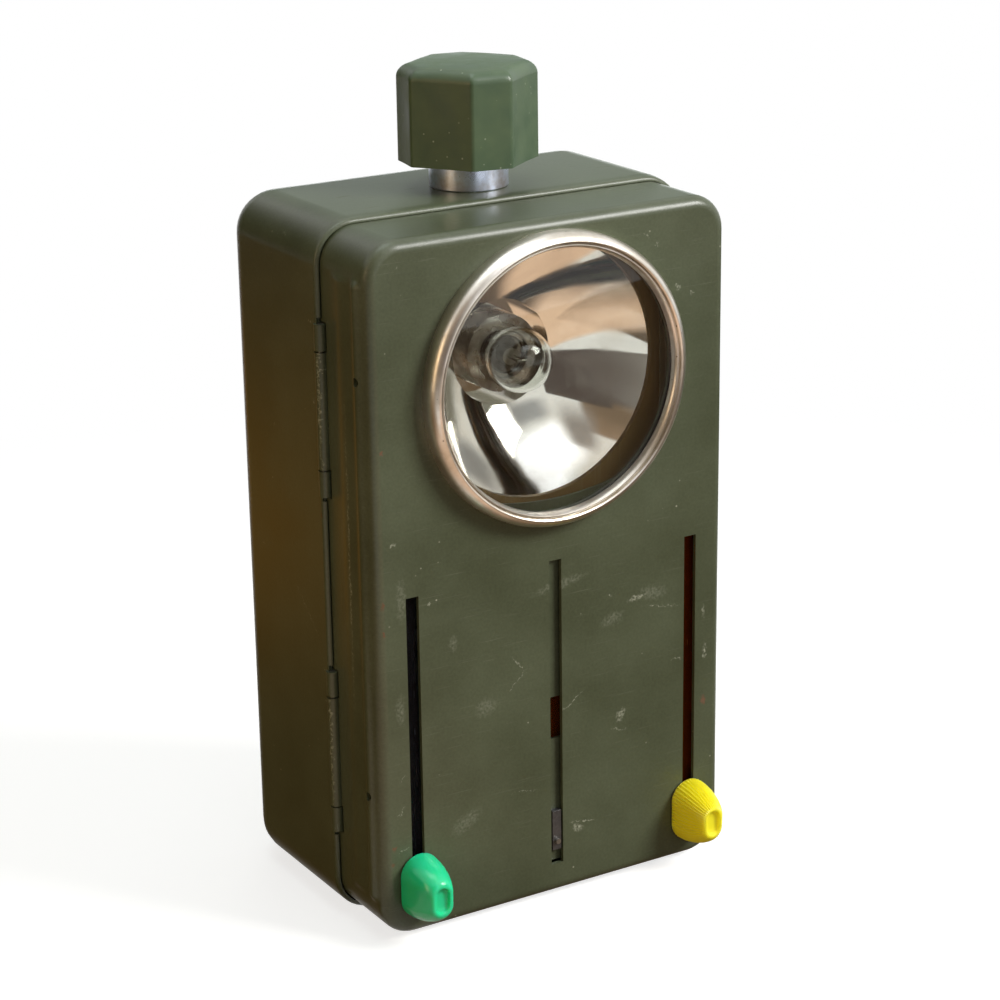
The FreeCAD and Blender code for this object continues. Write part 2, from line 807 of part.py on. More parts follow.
def rail_rivets():
    """Rivets set a little below the side walls, where they show as small dimples."""
    for side in ("left", "right"):
        start = f"-{SHELL_SIDE} + rivet_sunk" if side == "left" else f"{SHELL_INNER} - rivet_depth"
        for level, height in (("lower", "rivet_low"), ("upper", "rivet_high")):
            name = f"rail_rivet_{level}_{side}"
            keep(name, cylinder(name, "rivet_radius", "gauge + rivet_depth - rivet_sunk",
                                (start, rail_middle(), height), "X"))


def shutter_rails():
    """Folded strips on the back of the front face; their lips hold the shutter plate."""
    outer = "(shutter_half + gap + shutter_foot)"
    for side in ("left", "right"):
        foot_start = f"-{outer}" if side == "left" else "shutter_half + gap"
        lip_start = f"-{outer}" if side == "left" else f"{outer} - shutter_foot - shutter_lip"
        foot = box("rail_foot", (foot_start, f"{FRONT} + gauge", "rail_bottom"),
                   ("shutter_foot", "shutter_channel", "rail_top - rail_bottom"))
        lip = box("rail_lip", (lip_start, f"{FRONT} + gauge + shutter_channel", "rail_bottom"),
                  ("shutter_foot + shutter_lip", "shutter_lip_gauge", "rail_top - rail_bottom"))
        keep(f"shutter_rail_{side}", fuse(f"shutter_rail_{side}", foot, lip))


def colour_filter(colour, side, setback):
    """A coloured sheet that covers the lens when its slide is up, with a tail down to its stem."""
    left = side == "left"
    start = f"{FRONT} + {setback}"
    sheet_left = "-filter_outer" if left else "-filter_inner"
    tail_left = "-filter_outer" if left else "filter_outer - tail_width"
    pane = box("filter_pane", (sheet_left, start, "filter_bottom"),
               ("filter_outer + filter_inner", "filter_gauge", "filter_top - filter_bottom"))
    tail = box("filter_tail", (tail_left, start, "slot_bottom"),
               ("tail_width", "filter_gauge", "filter_bottom - slot_bottom"))
    keep(f"{colour}_filter", fuse(f"{colour}_filter", pane, tail))

    centre = "-slot_x" if left else "slot_x"
    keep(f"{colour}_stem", box(f"{colour}_stem",
                               (f"{centre} - stem_width / 2", f"{FRONT} - stem_reach",
                                "stem_height - stem_tall / 2"),
                               ("stem_width", f"{setback} + stem_reach", "stem_tall")))
    slide_button(f"{colour}_button", centre)


def slide_button(name, centre):
    """A tapered push button with a finger dimple in its end; it sits on the end of the stem."""
    body = doc.addObject("PartDesign::Body", name)
    foot = stadium(sketch_on(body, "XZ_Plane", f"{name}_foot"), "button_width", "button_tall")
    tip = stadium(sketch_on(body, "XZ_Plane", f"{name}_tip", "button_reach"),
                  "button_tip_width", "button_tip_tall")
    loft = body.newObject("PartDesign::AdditiveLoft", f"{name}_loft")
    loft.Profile = foot
    loft.Sections = [tip]
    loft.Ruled = True
    doc.recompute()
    reach = size("button_reach")
    fillet(body, loft, "button_edge", lambda edge: abs(edge.BoundBox.Center.y + reach) < CLOSE)
    dimple = stadium(sketch_on(body, "XZ_Plane", f"{name}_dimple", "button_reach"),
                     "dimple_width", "dimple_tall")
    pocket(body, dimple, "dimple_depth")
    socket = outline(
        sketch_on(body, "XZ_Plane", f"{name}_socket"),
        [("-stem_width / 2", "-stem_tall / 2"), ("stem_width / 2", "-stem_tall / 2"),
         ("stem_width / 2", "stem_tall / 2"), ("-stem_width / 2", "stem_tall / 2")],
    )
    pocket(body, socket, "stem_reach - gap", backwards=True)
    place(body, centre, f"{FRONT} - gap", "stem_height")
    keep(name, body)


def shutter():
    """The steel blackout plate behind the middle slot, and what is left of its stem."""
    start = f"({FRONT} + shutter_setback)"
    blank = box("shutter_blank", ("-shutter_half", start, "slot_bottom + shutter_lift"),
                ("2 * shutter_half", "shutter_gauge", "shutter_dip + shutter_shoulder - slot_bottom"))
    scoop = cylinder("shutter_scoop", "shutter_arc", "3 * shutter_gauge",
                     ("0", f"{start} - shutter_gauge", "shutter_dip + shutter_arc"), "Y")
    window = box("shutter_window", ("-window_half", f"{start} - shutter_gauge", "window_bottom"),
                 ("2 * window_half", "3 * shutter_gauge", "window_tall"))
    keep("shutter_plate", cut("shutter_plate", blank, scoop, window))
    stub = box("stub_block", ("-stub_width / 2", f"{FRONT} + stub_sunk", "stub_bottom"),
               ("stub_width", "shutter_setback - stub_sunk", "stub_tall"))
    pin_start = ("0", f"{FRONT} - stub_pin_proud", "stub_pin_height")
    hole = cylinder("stub_hole", "stub_pin_radius", "shutter_setback + stub_pin_proud", pin_start, "Y")
    keep("shutter_stub", cut("shutter_stub", stub, hole))
    keep("shutter_pin", cylinder("shutter_pin", "stub_pin_radius", "shutter_setback + stub_pin_proud",
                                 pin_start, "Y"))


# ---------------------------------------------------------------- switch

SWITCH = ("0", "switch_y")


def switch_group():
    collar = cylinder("collar", "collar_radius", "collar_height", (*SWITCH, "case_height"))
    thread = cylinder("bushing_thread", "bushing_radius", "thread_length",
                      (*SWITCH, "case_height - thread_length"))
    bore = cylinder("bushing_bore", "bushing_bore", "collar_height + thread_length + 2 * spare",
                    (*SWITCH, "case_height - thread_length - spare"))
    keep("switch_bushing", cut("switch_bushing", fuse("bushing_blank", collar, thread), bore))

    nut_level = "(case_height - gauge - nut_height)"
    nut = hexagon("nut_blank", "nut_radius", "nut_height", (*SWITCH, nut_level))
    nut_bore = cylinder("nut_bore", "bushing_radius", "nut_height + 2 * spare",
                        (*SWITCH, f"{nut_level} - spare"))
    keep("bushing_nut", cut("bushing_nut", nut, nut_bore))

    flange_level = "(case_height + collar_height + flange_play)"
    cam_level = "(case_height - sleeve_depth - cam_height)"
    sleeve = cylinder("sleeve_tube", "sleeve_radius", f"{flange_level} - case_height + sleeve_depth",
                      (*SWITCH, "case_height - sleeve_depth"))
    flange = cylinder("sleeve_flange", "sleeve_flange_radius", "sleeve_flange", (*SWITCH, flange_level))
    cam = cylinder("switch_cam", "cam_radius", "cam_height", (*SWITCH, cam_level))
    hex_bore = hexagon("sleeve_bore", "stem_hex + hex_clearance", "stem_length",
                       (*SWITCH, f"{cam_level} - spare"))
    keep("switch_sleeve", cut("switch_sleeve", fuse("sleeve_blank", sleeve, flange, cam), hex_bore))
    keep("knob_stem", hexagon("knob_stem", "stem_hex", "stem_length",
                              (*SWITCH, "case_height - stem_depth")))
    return_spring(f"{flange_level} + sleeve_flange")
    top_knob()


def return_spring(floor):
    """A square-wire coil between the sleeve's flange and the roof of the knob's hollow."""
    coil_radius, wire = size("spring_coil"), size("spring_wire")
    bottom = size(f"{floor} + spring_wire")
    height = size("case_height + knob_lift + cavity_depth - spring_wire") - bottom
    helix = Part.makeHelix(height / size("spring_turns"), height, coil_radius)
    corners = [(-wire, -wire), (wire, -wire), (wire, wire), (-wire, wire), (-wire, -wire)]
    section = Part.makePolygon([FreeCAD.Vector(coil_radius + out, 0, up) for out, up in corners])
    coil = Part.Wire(helix).makePipeShell([section], True, True)
    spring = solid_feature("return_spring", coil)
    spring.Placement = FreeCAD.Placement(FreeCAD.Vector(0, size("switch_y"), bottom), FreeCAD.Rotation())
    keep("return_spring", spring)


def top_knob():
    """An eight-sided hollow knob, wide and narrow faces in turn, with a rounded top edge."""
    body = doc.addObject("PartDesign::Body", "knob_body")
    half = "(knob_flat / 2)"
    reach = "(knob_flat / 2 + knob_facet * sqrt(0.5))"
    corners = [(half, reach), (f"-{half}", reach), (f"-{reach}", half), (f"-{reach}", f"-{half}"),
               (f"-{half}", f"-{reach}"), (half, f"-{reach}"), (reach, f"-{half}"), (reach, half)]
    prism = pad(body, outline(sketch_on(body, "XY_Plane", "knob_outline"), corners), "knob_height")
    top = size("knob_height")
    fillet(body, prism, "knob_edge", lambda edge: edge.BoundBox.ZMin > top - CLOSE)
    cavity_sketch = sketch_on(body, "XY_Plane", "knob_cavity")
    row = cavity_sketch.addGeometry(Part.Circle(FreeCAD.Vector(), FreeCAD.Vector(0, 0, 1),
                                                size("knob_cavity")))
    cavity_sketch.addConstraint(Sketcher.Constraint("Coincident", row, 3, -1, 1))
    radius = cavity_sketch.addConstraint(Sketcher.Constraint("Radius", row, size("knob_cavity")))
    cavity_sketch.setExpression(f"Constraints[{radius}]", formula("knob_cavity"))
    pocket(body, cavity_sketch, "cavity_depth", backwards=True)
    body.Placement = FreeCAD.Placement(FreeCAD.Vector(),
                                       FreeCAD.Rotation(FreeCAD.Vector(0, 0, 1), size("knob_turned")))
    place(body, *SWITCH, "case_height + knob_lift")
    stem_hole = hexagon("knob_stem_hole", "stem_hex", "stem_length", (*SWITCH, "case_height - stem_depth"))
    keep("top_knob", cut("top_knob_drilled", body, stem_hole))


# ---------------------------------------------------------------- battery and contacts

def battery():
    blank = box("battery_block", ("-battery_width / 2", "battery_back - battery_depth", "battery_floor"),
                ("battery_width", "battery_depth", "battery_height"))
    doc.recompute()
    rounded = doc.addObject("Part::Fillet", "battery")
    rounded.Base = blank
    corner = size("battery_corner")
    rounded.Edges = [
        (number, corner, corner) for number, edge in enumerate(blank.Shape.Edges, start=1)
        if edge.BoundBox.ZLength > CLOSE
    ]
    keep("battery", rounded)
    top = "battery_floor + battery_height"
    middle = "battery_back - battery_depth / 2"
    contact = "board_front - 1.5 * strip_gauge"
    for kind in ("long", "short"):
        name = f"battery_terminal_{kind}"
        route = [(middle, top), (middle, f"{top} + terminal_rise"),
                 (contact, f"{top} + {kind}_terminal_bend"), (contact, f"{top} + {kind}_terminal_top")]
        keep(name, band(name, route, "strip_gauge", "terminal_width", f"{kind}_terminal_x"))
    keep("battery_pad", box("battery_pad", ("-pad_width / 2", "pad_front", "gauge"),
                            ("pad_width", "pad_depth", "battery_floor - gauge")))
    battery_spring()


def battery_spring():
    """A bowed leaf between the case's back wall and the battery."""
    wall = f"({BACK} - gauge - strip_gauge / 2)"
    touch = "battery_back + strip_gauge / 2"
    route = [(wall, "battery_spring_low")]
    level = "battery_spring_low"
    for depth, rise in ((wall, "battery_spring_foot"), (touch, "battery_spring_run"),
                        (touch, "battery_spring_touch"), (wall, "battery_spring_run"),
                        (wall, "battery_spring_foot")):
        level = f"{level} + {rise}"
        route.append((depth, level))
    keep("battery_spring", band("battery_spring", route, "strip_gauge", "battery_spring_width",
                                "-battery_spring_width / 2"))


def terminal_board():
    blank = box("board_blank", ("-board_width / 2", "board_front", "board_bottom"),
                ("board_width", "board_gauge", "board_tall"))
    posts = {"left": "-post_x", "right": "post_x"}
    holes = [
        cylinder("board_hole", "post_shank_radius", "board_gauge",
                 (across, "board_front", "post_height"), "Y")
        for across in posts.values()
    ]
    keep("terminal_board", cut("terminal_board", blank, *holes))
    for side, across in posts.items():
        head = cylinder("post_head", "post_head_radius", "post_head",
                        (across, "board_front - post_head", "post_height"), "Y")
        shank = cylinder("post_shank", "post_shank_radius", "board_gauge",
                         (across, "board_front", "post_height"), "Y")
        post = cylinder("post_body", "post_radius", f"{BACK} - gauge - board_front - board_gauge",
                        (across, "board_front + board_gauge", "post_height"), "Y")
        keep(f"board_post_{side}", fuse(f"board_post_{side}", head, shank, post))


def contact_strips():
    on_board = "board_front - strip_gauge / 2"
    for kind in ("long", "short"):
        name = f"contact_strip_{kind}"
        keep(name, box(name, (f"{kind}_strip_x", "board_front - strip_gauge", "strip_bottom"),
                       ("strip_width", "strip_gauge", "strip_tall")))
    tail = f"({FRONT} + base_setback + base_length + tip_length + gap + strip_gauge / 2)"
    keep("bulb_leaf", band(
        "bulb_leaf",
        [(on_board, "mirror_height - leaf_foot"), (on_board, "mirror_height - leaf_bend"),
         (tail, "mirror_height - leaf_touch"), (tail, "mirror_height + leaf_touch")],
        "strip_gauge", "leaf_width", "-leaf_width / 2"))
    keep("switch_leaf", band(
        "switch_leaf",
        [(on_board, "case_height - switch_leaf_top"), (on_board, "case_height - switch_leaf_drop"),
         ("switch_y - switch_leaf_reach", "case_height - switch_leaf_drop")],
        "strip_gauge", "leaf_width", "-leaf_width / 2"))


# ---------------------------------------------------------------- belt clip and latch

def belt_clip():
    flat = f"({BACK} + clip_gauge / 2)"
    out = f"({BACK} + clip_gap + clip_gauge / 2)"
    strip = band("clip_strip", [(flat, "clip_top"), (flat, "clip_bend"), (out, "clip_shoulder"),
                                (out, "clip_knee"), (f"{BACK} + clip_toe_gap", "clip_toe"),
                                (f"{BACK} + clip_end_gap", "clip_end")],
                 "clip_gauge", "clip_width", "-clip_width / 2")
    holes = [
        cylinder("clip_rivet_hole", "clip_rivet_radius", "2 * clip_gauge",
                 ("0", f"{BACK} - clip_gauge / 2", height), "Y")
        for height in CLIP_RIVETS
    ]
    keep("belt_clip", cut("belt_clip", strip, *holes))
    for name, height in zip(("clip_rivet_lower", "clip_rivet_upper"), CLIP_RIVETS):
        shank = cylinder("rivet_shank", "clip_rivet_radius", "gauge + clip_gauge",
                         ("0", f"{BACK} - gauge", height), "Y")
        outer = cylinder("rivet_head", "clip_rivet_head_radius", "clip_rivet_head",
                         ("0", f"{BACK} + clip_gauge", height), "Y")
        inner = cylinder("rivet_foot", "clip_rivet_foot_radius", "clip_rivet_foot",
                         ("0", f"{BACK} - gauge - clip_rivet_foot", height), "Y")
        keep(name, fuse(name, shank, outer, inner))


def latch():
    """A hooked arm on the right side that swings outwards and lets the front shell open."""
    axis = (f"({SIDE} + latch_standoff)", "latch_y")
    low = "latch_height"
    lower_ear = "(latch_height - gap - latch_ear)"
    upper_ear = "(latch_height + latch_tall + gap)"
    pin_length = "(latch_tall + 2 * gap + 2 * latch_ear)"
    plate = box("latch_base", (SIDE, "latch_y - latch_plate_half", lower_ear),
                ("latch_strip", "2 * latch_plate_half", pin_length))
    ears = []
    for bottom in (lower_ear, upper_ear):
        ears.append(box("latch_ear", (SIDE, "latch_y - latch_ear_radius", bottom),
                        ("latch_standoff", "2 * latch_ear_radius", "latch_ear")))
        ears.append(cylinder("latch_ear_end", "latch_ear_radius", "latch_ear", (*axis, bottom)))
    bore = cylinder("latch_bore", "pin_radius + pin_clearance", f"{pin_length} + 2 * spare",
                    (*axis, f"{lower_ear} - spare"))
    keep("latch_bracket", cut("latch_bracket", fuse("bracket_blank", plate, *ears), bore))
    keep("latch_pin", cylinder("latch_pin", "pin_radius", pin_length, (*axis, lower_ear)))

    tip_y = "(latch_y - latch_reach - latch_lip_overhang)"
    barrel = cylinder("arm_barrel", "latch_barrel_radius", "latch_tall", (*axis, low))
    strip = box("arm_strip", (f"{axis[0]} - latch_strip / 2", tip_y, low),
                ("latch_strip", "latch_reach + latch_lip_overhang", "latch_tall"))
    lip = box("arm_lip", (f"{SHELL_SIDE} + latch_lip_clearance", tip_y, low),
              ("shell_inset + latch_standoff + latch_strip / 2 - latch_lip_clearance", "latch_lip",
               "latch_tall"))
    arm_bore = cylinder("arm_bore", "pin_radius + pin_clearance", "latch_tall + 2 * spare",
                        (*axis, f"{low} - spare"))
    keep("latch_arm", cut("latch_arm", fuse("arm_blank", barrel, strip, lip), arm_bore))


# ---------------------------------------------------------------- build, check, export

def build_all():
    rear_case()
    front_shell()
    hinge_pins()
    bezel_ring()
    lens_glass()
    lens_gasket()
    reflector()
    bulb_group()
    reflector_plate()
    plate_screws()
    filter_rails()
    rail_rivets()
    shutter_rails()
    colour_filter("green", "left", "green_setback")
    colour_filter("amber", "right", "amber_setback")
    shutter()
    switch_group()
    battery()
    terminal_board()
    contact_strips()
    belt_clip()
    latch()


def check_all():
    """Stop on any feature that failed and on any sub-part that isn't one valid closed solid."""
    for thing in doc.Objects:
        if "Invalid" in thing.State or "Error" in thing.State:
            raise RuntimeError(f"{thing.Label}: {thing.State}")
    for thing in sub_parts:
        shape = thing.Shape
        if shape.isNull() or not shape.isValid():
            raise RuntimeError(f"{thing.Label}: the shape is null or not valid")
        if len(shape.Solids) != 1 or shape.Volume <= 0:
            raise RuntimeError(f"{thing.Label}: {len(shape.Solids)} solids, volume {shape.Volume}")


def export_all():
    os.makedirs("parts", exist_ok=True)
    for thing in sub_parts:
        thing.Shape.exportStep(f"parts/{thing.Label}.step")


sheet = fill_sheet()
build_all()
doc.recompute()
check_all()
export_all()
print(len(sub_parts), "sub-parts")
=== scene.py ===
"""A pocket signal lamp: painted steel case, glass and mirror at the top, a turning key, two filter slides."""

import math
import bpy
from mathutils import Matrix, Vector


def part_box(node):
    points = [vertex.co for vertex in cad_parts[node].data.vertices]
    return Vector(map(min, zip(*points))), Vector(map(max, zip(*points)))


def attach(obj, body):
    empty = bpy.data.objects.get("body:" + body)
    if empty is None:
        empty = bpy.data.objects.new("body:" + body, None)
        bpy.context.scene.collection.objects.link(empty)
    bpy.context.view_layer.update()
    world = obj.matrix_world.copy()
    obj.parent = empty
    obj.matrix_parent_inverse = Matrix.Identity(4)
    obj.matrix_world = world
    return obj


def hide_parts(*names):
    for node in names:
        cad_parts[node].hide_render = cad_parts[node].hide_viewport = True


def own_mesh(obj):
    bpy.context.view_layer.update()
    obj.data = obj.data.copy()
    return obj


bl_info = {
    "name": "Pocket Signal Lamp",
    "version": (1, 0, 0),
    "blender": (4, 5, 0),
    "location": "View3D > Sidebar > Signal Lamp",
    "description": "Models and finishes a pocket signal lamp with two coloured filters and a shutter",
    "category": "Object",
}

import bmesh
import bpy
from bpy.props import FloatProperty, FloatVectorProperty, IntProperty, PointerProperty
from mathutils import Matrix, Vector

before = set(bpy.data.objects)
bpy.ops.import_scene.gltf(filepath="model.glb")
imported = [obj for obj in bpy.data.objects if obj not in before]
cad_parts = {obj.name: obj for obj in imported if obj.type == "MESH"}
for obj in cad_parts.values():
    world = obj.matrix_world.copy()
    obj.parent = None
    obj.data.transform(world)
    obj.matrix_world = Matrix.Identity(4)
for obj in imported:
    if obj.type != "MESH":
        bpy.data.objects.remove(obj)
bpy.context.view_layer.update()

MM = 0.001
TINY = 0.005 * MM
CUT_REACH = 2 * MM
Y, Z = 1, 2
FULL_TURN = 2 * math.pi
SHARP = math.radians(35)
SOFTENED = math.radians(40)

# Places that the CAD nodes give.
CASE_LOW, CASE_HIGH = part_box("rear_case")
SHELL_LOW, SHELL_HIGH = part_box("front_shell")
RING_LOW, RING_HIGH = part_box("bezel_ring")
KNOB_LOW, KNOB_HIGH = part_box("top_knob")
COLLAR_LOW, COLLAR_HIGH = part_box("switch_bushing")
FRONT = SHELL_LOW.y
LENS_X = (RING_LOW.x + RING_HIGH.x) / 2
LENS_Z = (RING_LOW.z + RING_HIGH.z) / 2
LENS_CENTRE = Vector((LENS_X, FRONT, LENS_Z))
SWITCH_X = (COLLAR_LOW.x + COLLAR_HIGH.x) / 2
SWITCH_Y = (COLLAR_LOW.y + COLLAR_HIGH.y) / 2


def linear(code, alpha=1.0):
    """An sRGB hex colour as linear red, green, blue and alpha."""
    channels = [int(code[at:at + 2], 16) / 255 for at in (1, 3, 5)]
    curved = [c / 12.92 if c <= 0.04045 else ((c + 0.055) / 1.055) ** 2.4 for c in channels]
    return (*curved, alpha)


def length(name, description, millimetres):
    """A property for a length, kept in metres."""
    return FloatProperty(name=name, description=description, default=millimetres * MM, min=0.0, unit="LENGTH")


def colour(name, description, code):
    """A property for a colour, given as sRGB hex."""
    return FloatVectorProperty(name=name, description=description, default=linear(code), size=4,
                               min=0.0, max=1.0, subtype="COLOR")


# ---------------------------------------------------------------- sizes and colours

class CaseSizes(bpy.types.PropertyGroup):
    """Sizes of the two drawn steel shells."""

    wall: length("Wall", "Thickness of the sheet steel", 0.8)
    case_half: length("Case half width", "Half of the rear case's width", 37.0)
    case_corner: length("Case corner", "Radius of the rear case's four long corners", 7.5)
    case_rim: length("Case back rim", "Radius between the rear case's sides and back", 7.0)
    shell_half: length("Shell half width", "Half of the front shell's width", 35.9)
    shell_corner: length("Shell corner", "Radius of the front shell's four long corners", 6.4)
    shell_rim: length("Shell front rim", "Radius between the front shell's sides and face", 2.0)
    cut_edge: length("Shell's cut edge", "Width of the softened edge on the front shell's cuts", 0.14)
    case_edge: length("Case's cut edge", "Width of the softened edge on the rear case's cuts", 0.238)
    lip_roll: length("Lip roll", "Radius of the rear case's rolled front lip", 0.72)
    band_lift: length("Band lift", "How far the pressed band in each side stands out", 0.45)
    band_dip: length("Band dip", "How far the groove beside the band is pressed in", 0.85)


class LensSizes(bpy.types.PropertyGroup):
    """Sizes of the ring, glass, reflector and bulb."""

    ring_radius: length("Ring radius", "Outer radius of the ring round the glass", 25.9)
    glass_radius: length("Glass radius", "Radius of the lens glass", 24.4)
    dome_rise: length("Dome rise", "How far the glass is domed", 1.2)
    bowl_radius: length("Bowl radius", "Radius of the reflector's rim", 22.3)
    bowl_depth: length("Bowl depth", "Depth of the reflector's curve", 12.6)
    bowl_wall: length("Bowl wall", "Thickness of the reflector", 0.6)
    steps: IntProperty(name="Steps", description="Facets round a turned piece", default=144, min=24)


class KnobSizes(bpy.types.PropertyGroup):
    """Sizes of the switch's knob."""

    narrow: length("Narrow face", "Width of the knob's four narrow faces", 7.2)
    wide: length("Wide face", "Width of the knob's four wide faces", 11.7)
    turned: FloatProperty(name="Turned", description="Turn of the knob about its axis",
                          default=math.radians(-10), subtype="ANGLE")
    top_edge: length("Top edge", "Radius between the sides and the top", 2.4)
    side_edge: length("Side edge", "Width of the softened edge between two sides", 0.45)
    hollow: length("Side hollow", "How far the middle of each wide face is sunk", 0.22)
    crown: length("Crown", "How far the top is domed", 0.35)
    cavity: length("Cavity", "Radius of the hollow under the knob", 8.2)
    cavity_depth: length("Cavity depth", "Depth of the hollow under the knob", 7.9)


class ButtonSizes(bpy.types.PropertyGroup):
    """Sizes of the two slide buttons."""

    width: length("Width", "Width of a button at its foot", 7.8)
    tall: length("Height", "Height of a button at its foot", 12.0)
    flute_depth: length("Flute depth", "Depth of the fine flutes on the yellow button", 0.38)
    flutes: IntProperty(name="Flutes", description="Flutes round the yellow button", default=46, min=8)


class FinishColours(bpy.types.PropertyGroup):
    """Colours of the paint, plastic and metal."""

    enamel: colour("Olive enamel", "Paint of both shells", "#474d39")
    enamel_pale: colour("Faded enamel", "Where the paint is rubbed and dusty", "#555c47")
    inside: colour("Inside enamel", "Thinner paint on the inner parts", "#4a3e29")
    knob: colour("Knob plastic", "Moulded plastic of the knob", "#455940")
    green: colour("Green plastic", "Button of the green filter", "#20d898")
    yellow: colour("Yellow plastic", "Button of the amber filter", "#fff02a")
    ring: colour("Ring metal", "Plated brass of the lens ring", "#e8e2d8")
    steel: colour("Plain steel", "Bare and plated steel parts", "#a9a8a2")


class StageSettings(bpy.types.PropertyGroup):
    """Camera and light."""

    azimuth: FloatProperty(name="Azimuth", description="Camera's turn round the lamp from straight ahead",
                           default=math.radians(-31.23), subtype="ANGLE")
    elevation: FloatProperty(name="Elevation", description="Camera's height angle",
                             default=math.radians(18.46), subtype="ANGLE")
    roll: FloatProperty(name="Roll", description="Camera's turn about its line of sight",
                        default=math.radians(-0.84), subtype="ANGLE")
    distance: length("Distance", "From the camera to the point it looks at", 493.54)
    focal: FloatProperty(name="Focal length", description="Camera's focal length in millimetres",
                         default=97.546, subtype="NONE")
    key_power: FloatProperty(name="Key light", description="Power of the light from the right",
                             default=10.0, unit="POWER")
    top_power: FloatProperty(name="Top light", description="Power of the light from above",
                             default=2.1, unit="POWER")
    fill_power: FloatProperty(name="Warm fill", description="Power of the warm light from the left",
                              default=1.7, unit="POWER")
    back_power: FloatProperty(name="Back light", description="Power of the soft light from behind",
                              default=2.4, unit="POWER")
    ambient: FloatProperty(name="Ambient", description="Strength of the even light from all round",
                           default=0.5)


# ---------------------------------------------------------------- mesh tools

def put_down(bm, name, finish):
    """Makes an object in the scene from a bmesh."""
    mesh = bpy.data.meshes.new(name)
    bm.to_mesh(mesh)
    bm.free()
    mesh.materials.append(finish)
    thing = bpy.data.objects.new(name, mesh)
    bpy.context.scene.collection.objects.link(thing)
    return thing


def apply_modifiers(thing):
    """Replaces an object's mesh with the one that its modifiers make."""
    graph = bpy.context.evaluated_depsgraph_get()
    plain = thing.data
    thing.data = bpy.data.meshes.new_from_object(thing.evaluated_get(graph))
    thing.modifiers.clear()
    bpy.data.meshes.remove(plain)


def carve(thing, operation, *cutters):
    """Joins bmeshes to an object or takes them out of it."""
    tools = []
    for bm in cutters:
        tool = put_down(bm, "cutter", thing.data.materials[0])
        step = thing.modifiers.new("carve", "BOOLEAN")
        step.operation = operation
        step.solver = "EXACT"
        step.object = tool
        tools.append(tool)
    apply_modifiers(thing)
    for tool in tools:
        mesh = tool.data
        bpy.data.objects.remove(tool)
        bpy.data.meshes.remove(mesh)


def soften(thing, width, segments=2):
    """Gives an object's sharp edges a narrow round."""
    step = thing.modifiers.new("soft edges", "BEVEL")
    step.width = width
    step.segments = segments
    step.limit_method = "ANGLE"
    step.angle_limit = SOFTENED
    step.use_clamp_overlap = True
    apply_modifiers(thing)


def hand_over(thing, body, slot, *nodes):
    """Smooths an object's shading, puts it on its body and hides the nodes that it stands for."""
    thing.data.shade_smooth()
    thing.data.set_sharp_from_angle(angle=SHARP)
    step = thing.modifiers.new("even shading", "WEIGHTED_NORMAL")
    step.keep_sharp = True
    apply_modifiers(thing)
    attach(thing, body)
    if nodes:
        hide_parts(*nodes)
    return thing


def round_edges(bm, edges, radius, segments):
    """Rounds a bmesh's edges, or cuts them flat with one segment."""
    bmesh.ops.bevel(bm, geom=edges, offset=radius, offset_type="OFFSET", affect="EDGES",
                    segments=segments, profile=0.5, material=-1)


def block(low, high):
    """A bmesh box between two corners."""
    bm = bmesh.new()
    bmesh.ops.create_cube(bm, size=1)
    bmesh.ops.scale(bm, vec=Vector(high) - Vector(low), verts=bm.verts)
    bmesh.ops.translate(bm, vec=(Vector(high) + Vector(low)) / 2, verts=bm.verts)
    return bm


def bar(radius, start, end, segments):
    """A bmesh cylinder between two points."""
    bm = bmesh.new()
    run = Vector(end) - Vector(start)
    bmesh.ops.create_cone(bm, cap_ends=True, segments=segments, radius1=radius, radius2=radius,
                          depth=run.length)
    turn = run.to_track_quat("Z", "Y").to_matrix().to_4x4()
    place = Matrix.Translation((Vector(start) + Vector(end)) / 2) @ turn
    bmesh.ops.transform(bm, matrix=place, verts=bm.verts)
    return bm


def turned(section, centre, axis, steps):
    """Spins a closed section, given as pairs of radius and travel along the axis, into a solid."""
    bm = bmesh.new()
    axis = Vector(axis)
    outward = Vector((1, 0, 0))
    verts = [bm.verts.new(centre + outward * radius + axis * travel) for radius, travel in section]
    edges = [bm.edges.new(pair) for pair in zip(verts, verts[1:] + verts[:1])]
    bmesh.ops.spin(bm, geom=verts + edges, cent=centre, axis=axis, angle=FULL_TURN, steps=steps,
                   use_merge=True)
    bmesh.ops.remove_doubles(bm, verts=bm.verts, dist=TINY)
    bmesh.ops.dissolve_degenerate(bm, edges=bm.edges, dist=TINY)
    on_axis = [edge for edge in bm.edges if edge.is_wire]
    bmesh.ops.delete(bm, geom=on_axis, context="EDGES")
    bmesh.ops.recalc_face_normals(bm, faces=bm.faces)
    return bm


def copied(node):
    """A bmesh of a CAD node, joined up and with its flat faces whole."""
    bm = bmesh.new()
    bm.from_mesh(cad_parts[node].data)
    bmesh.ops.remove_doubles(bm, verts=bm.verts, dist=TINY / 5)
    bmesh.ops.dissolve_limit(bm, angle_limit=math.radians(0.5), verts=bm.verts, edges=bm.edges)
    return bm


def cut_across(bm, axis, place):
    """Cuts a row of edges right round a bmesh, where the plane across an axis meets it."""
    normal = Vector((0, 0, 0))
    normal[axis] = 1
    bmesh.ops.bisect_plane(bm, geom=[*bm.verts, *bm.edges, *bm.faces], dist=TINY / 10,
                           plane_co=normal * place, plane_no=normal)


def lies_at(part, axis, place):
    """Whether an edge or a face lies in the plane across an axis."""
    return all(abs(vert.co[axis] - place) < TINY for vert in part.verts)


def runs_along(edge, axis):
    """Whether an edge's two ends differ in their place on an axis."""
    return abs(edge.verts[0].co[axis] - edge.verts[1].co[axis]) > TINY


def smooth_step(value, low, high):
    """0 below low, 1 above high, and a smooth curve between them."""
    share = min(max((value - low) / (high - low), 0.0), 1.0)
    return share * share * (3 - 2 * share)


# ---------------------------------------------------------------- material tools

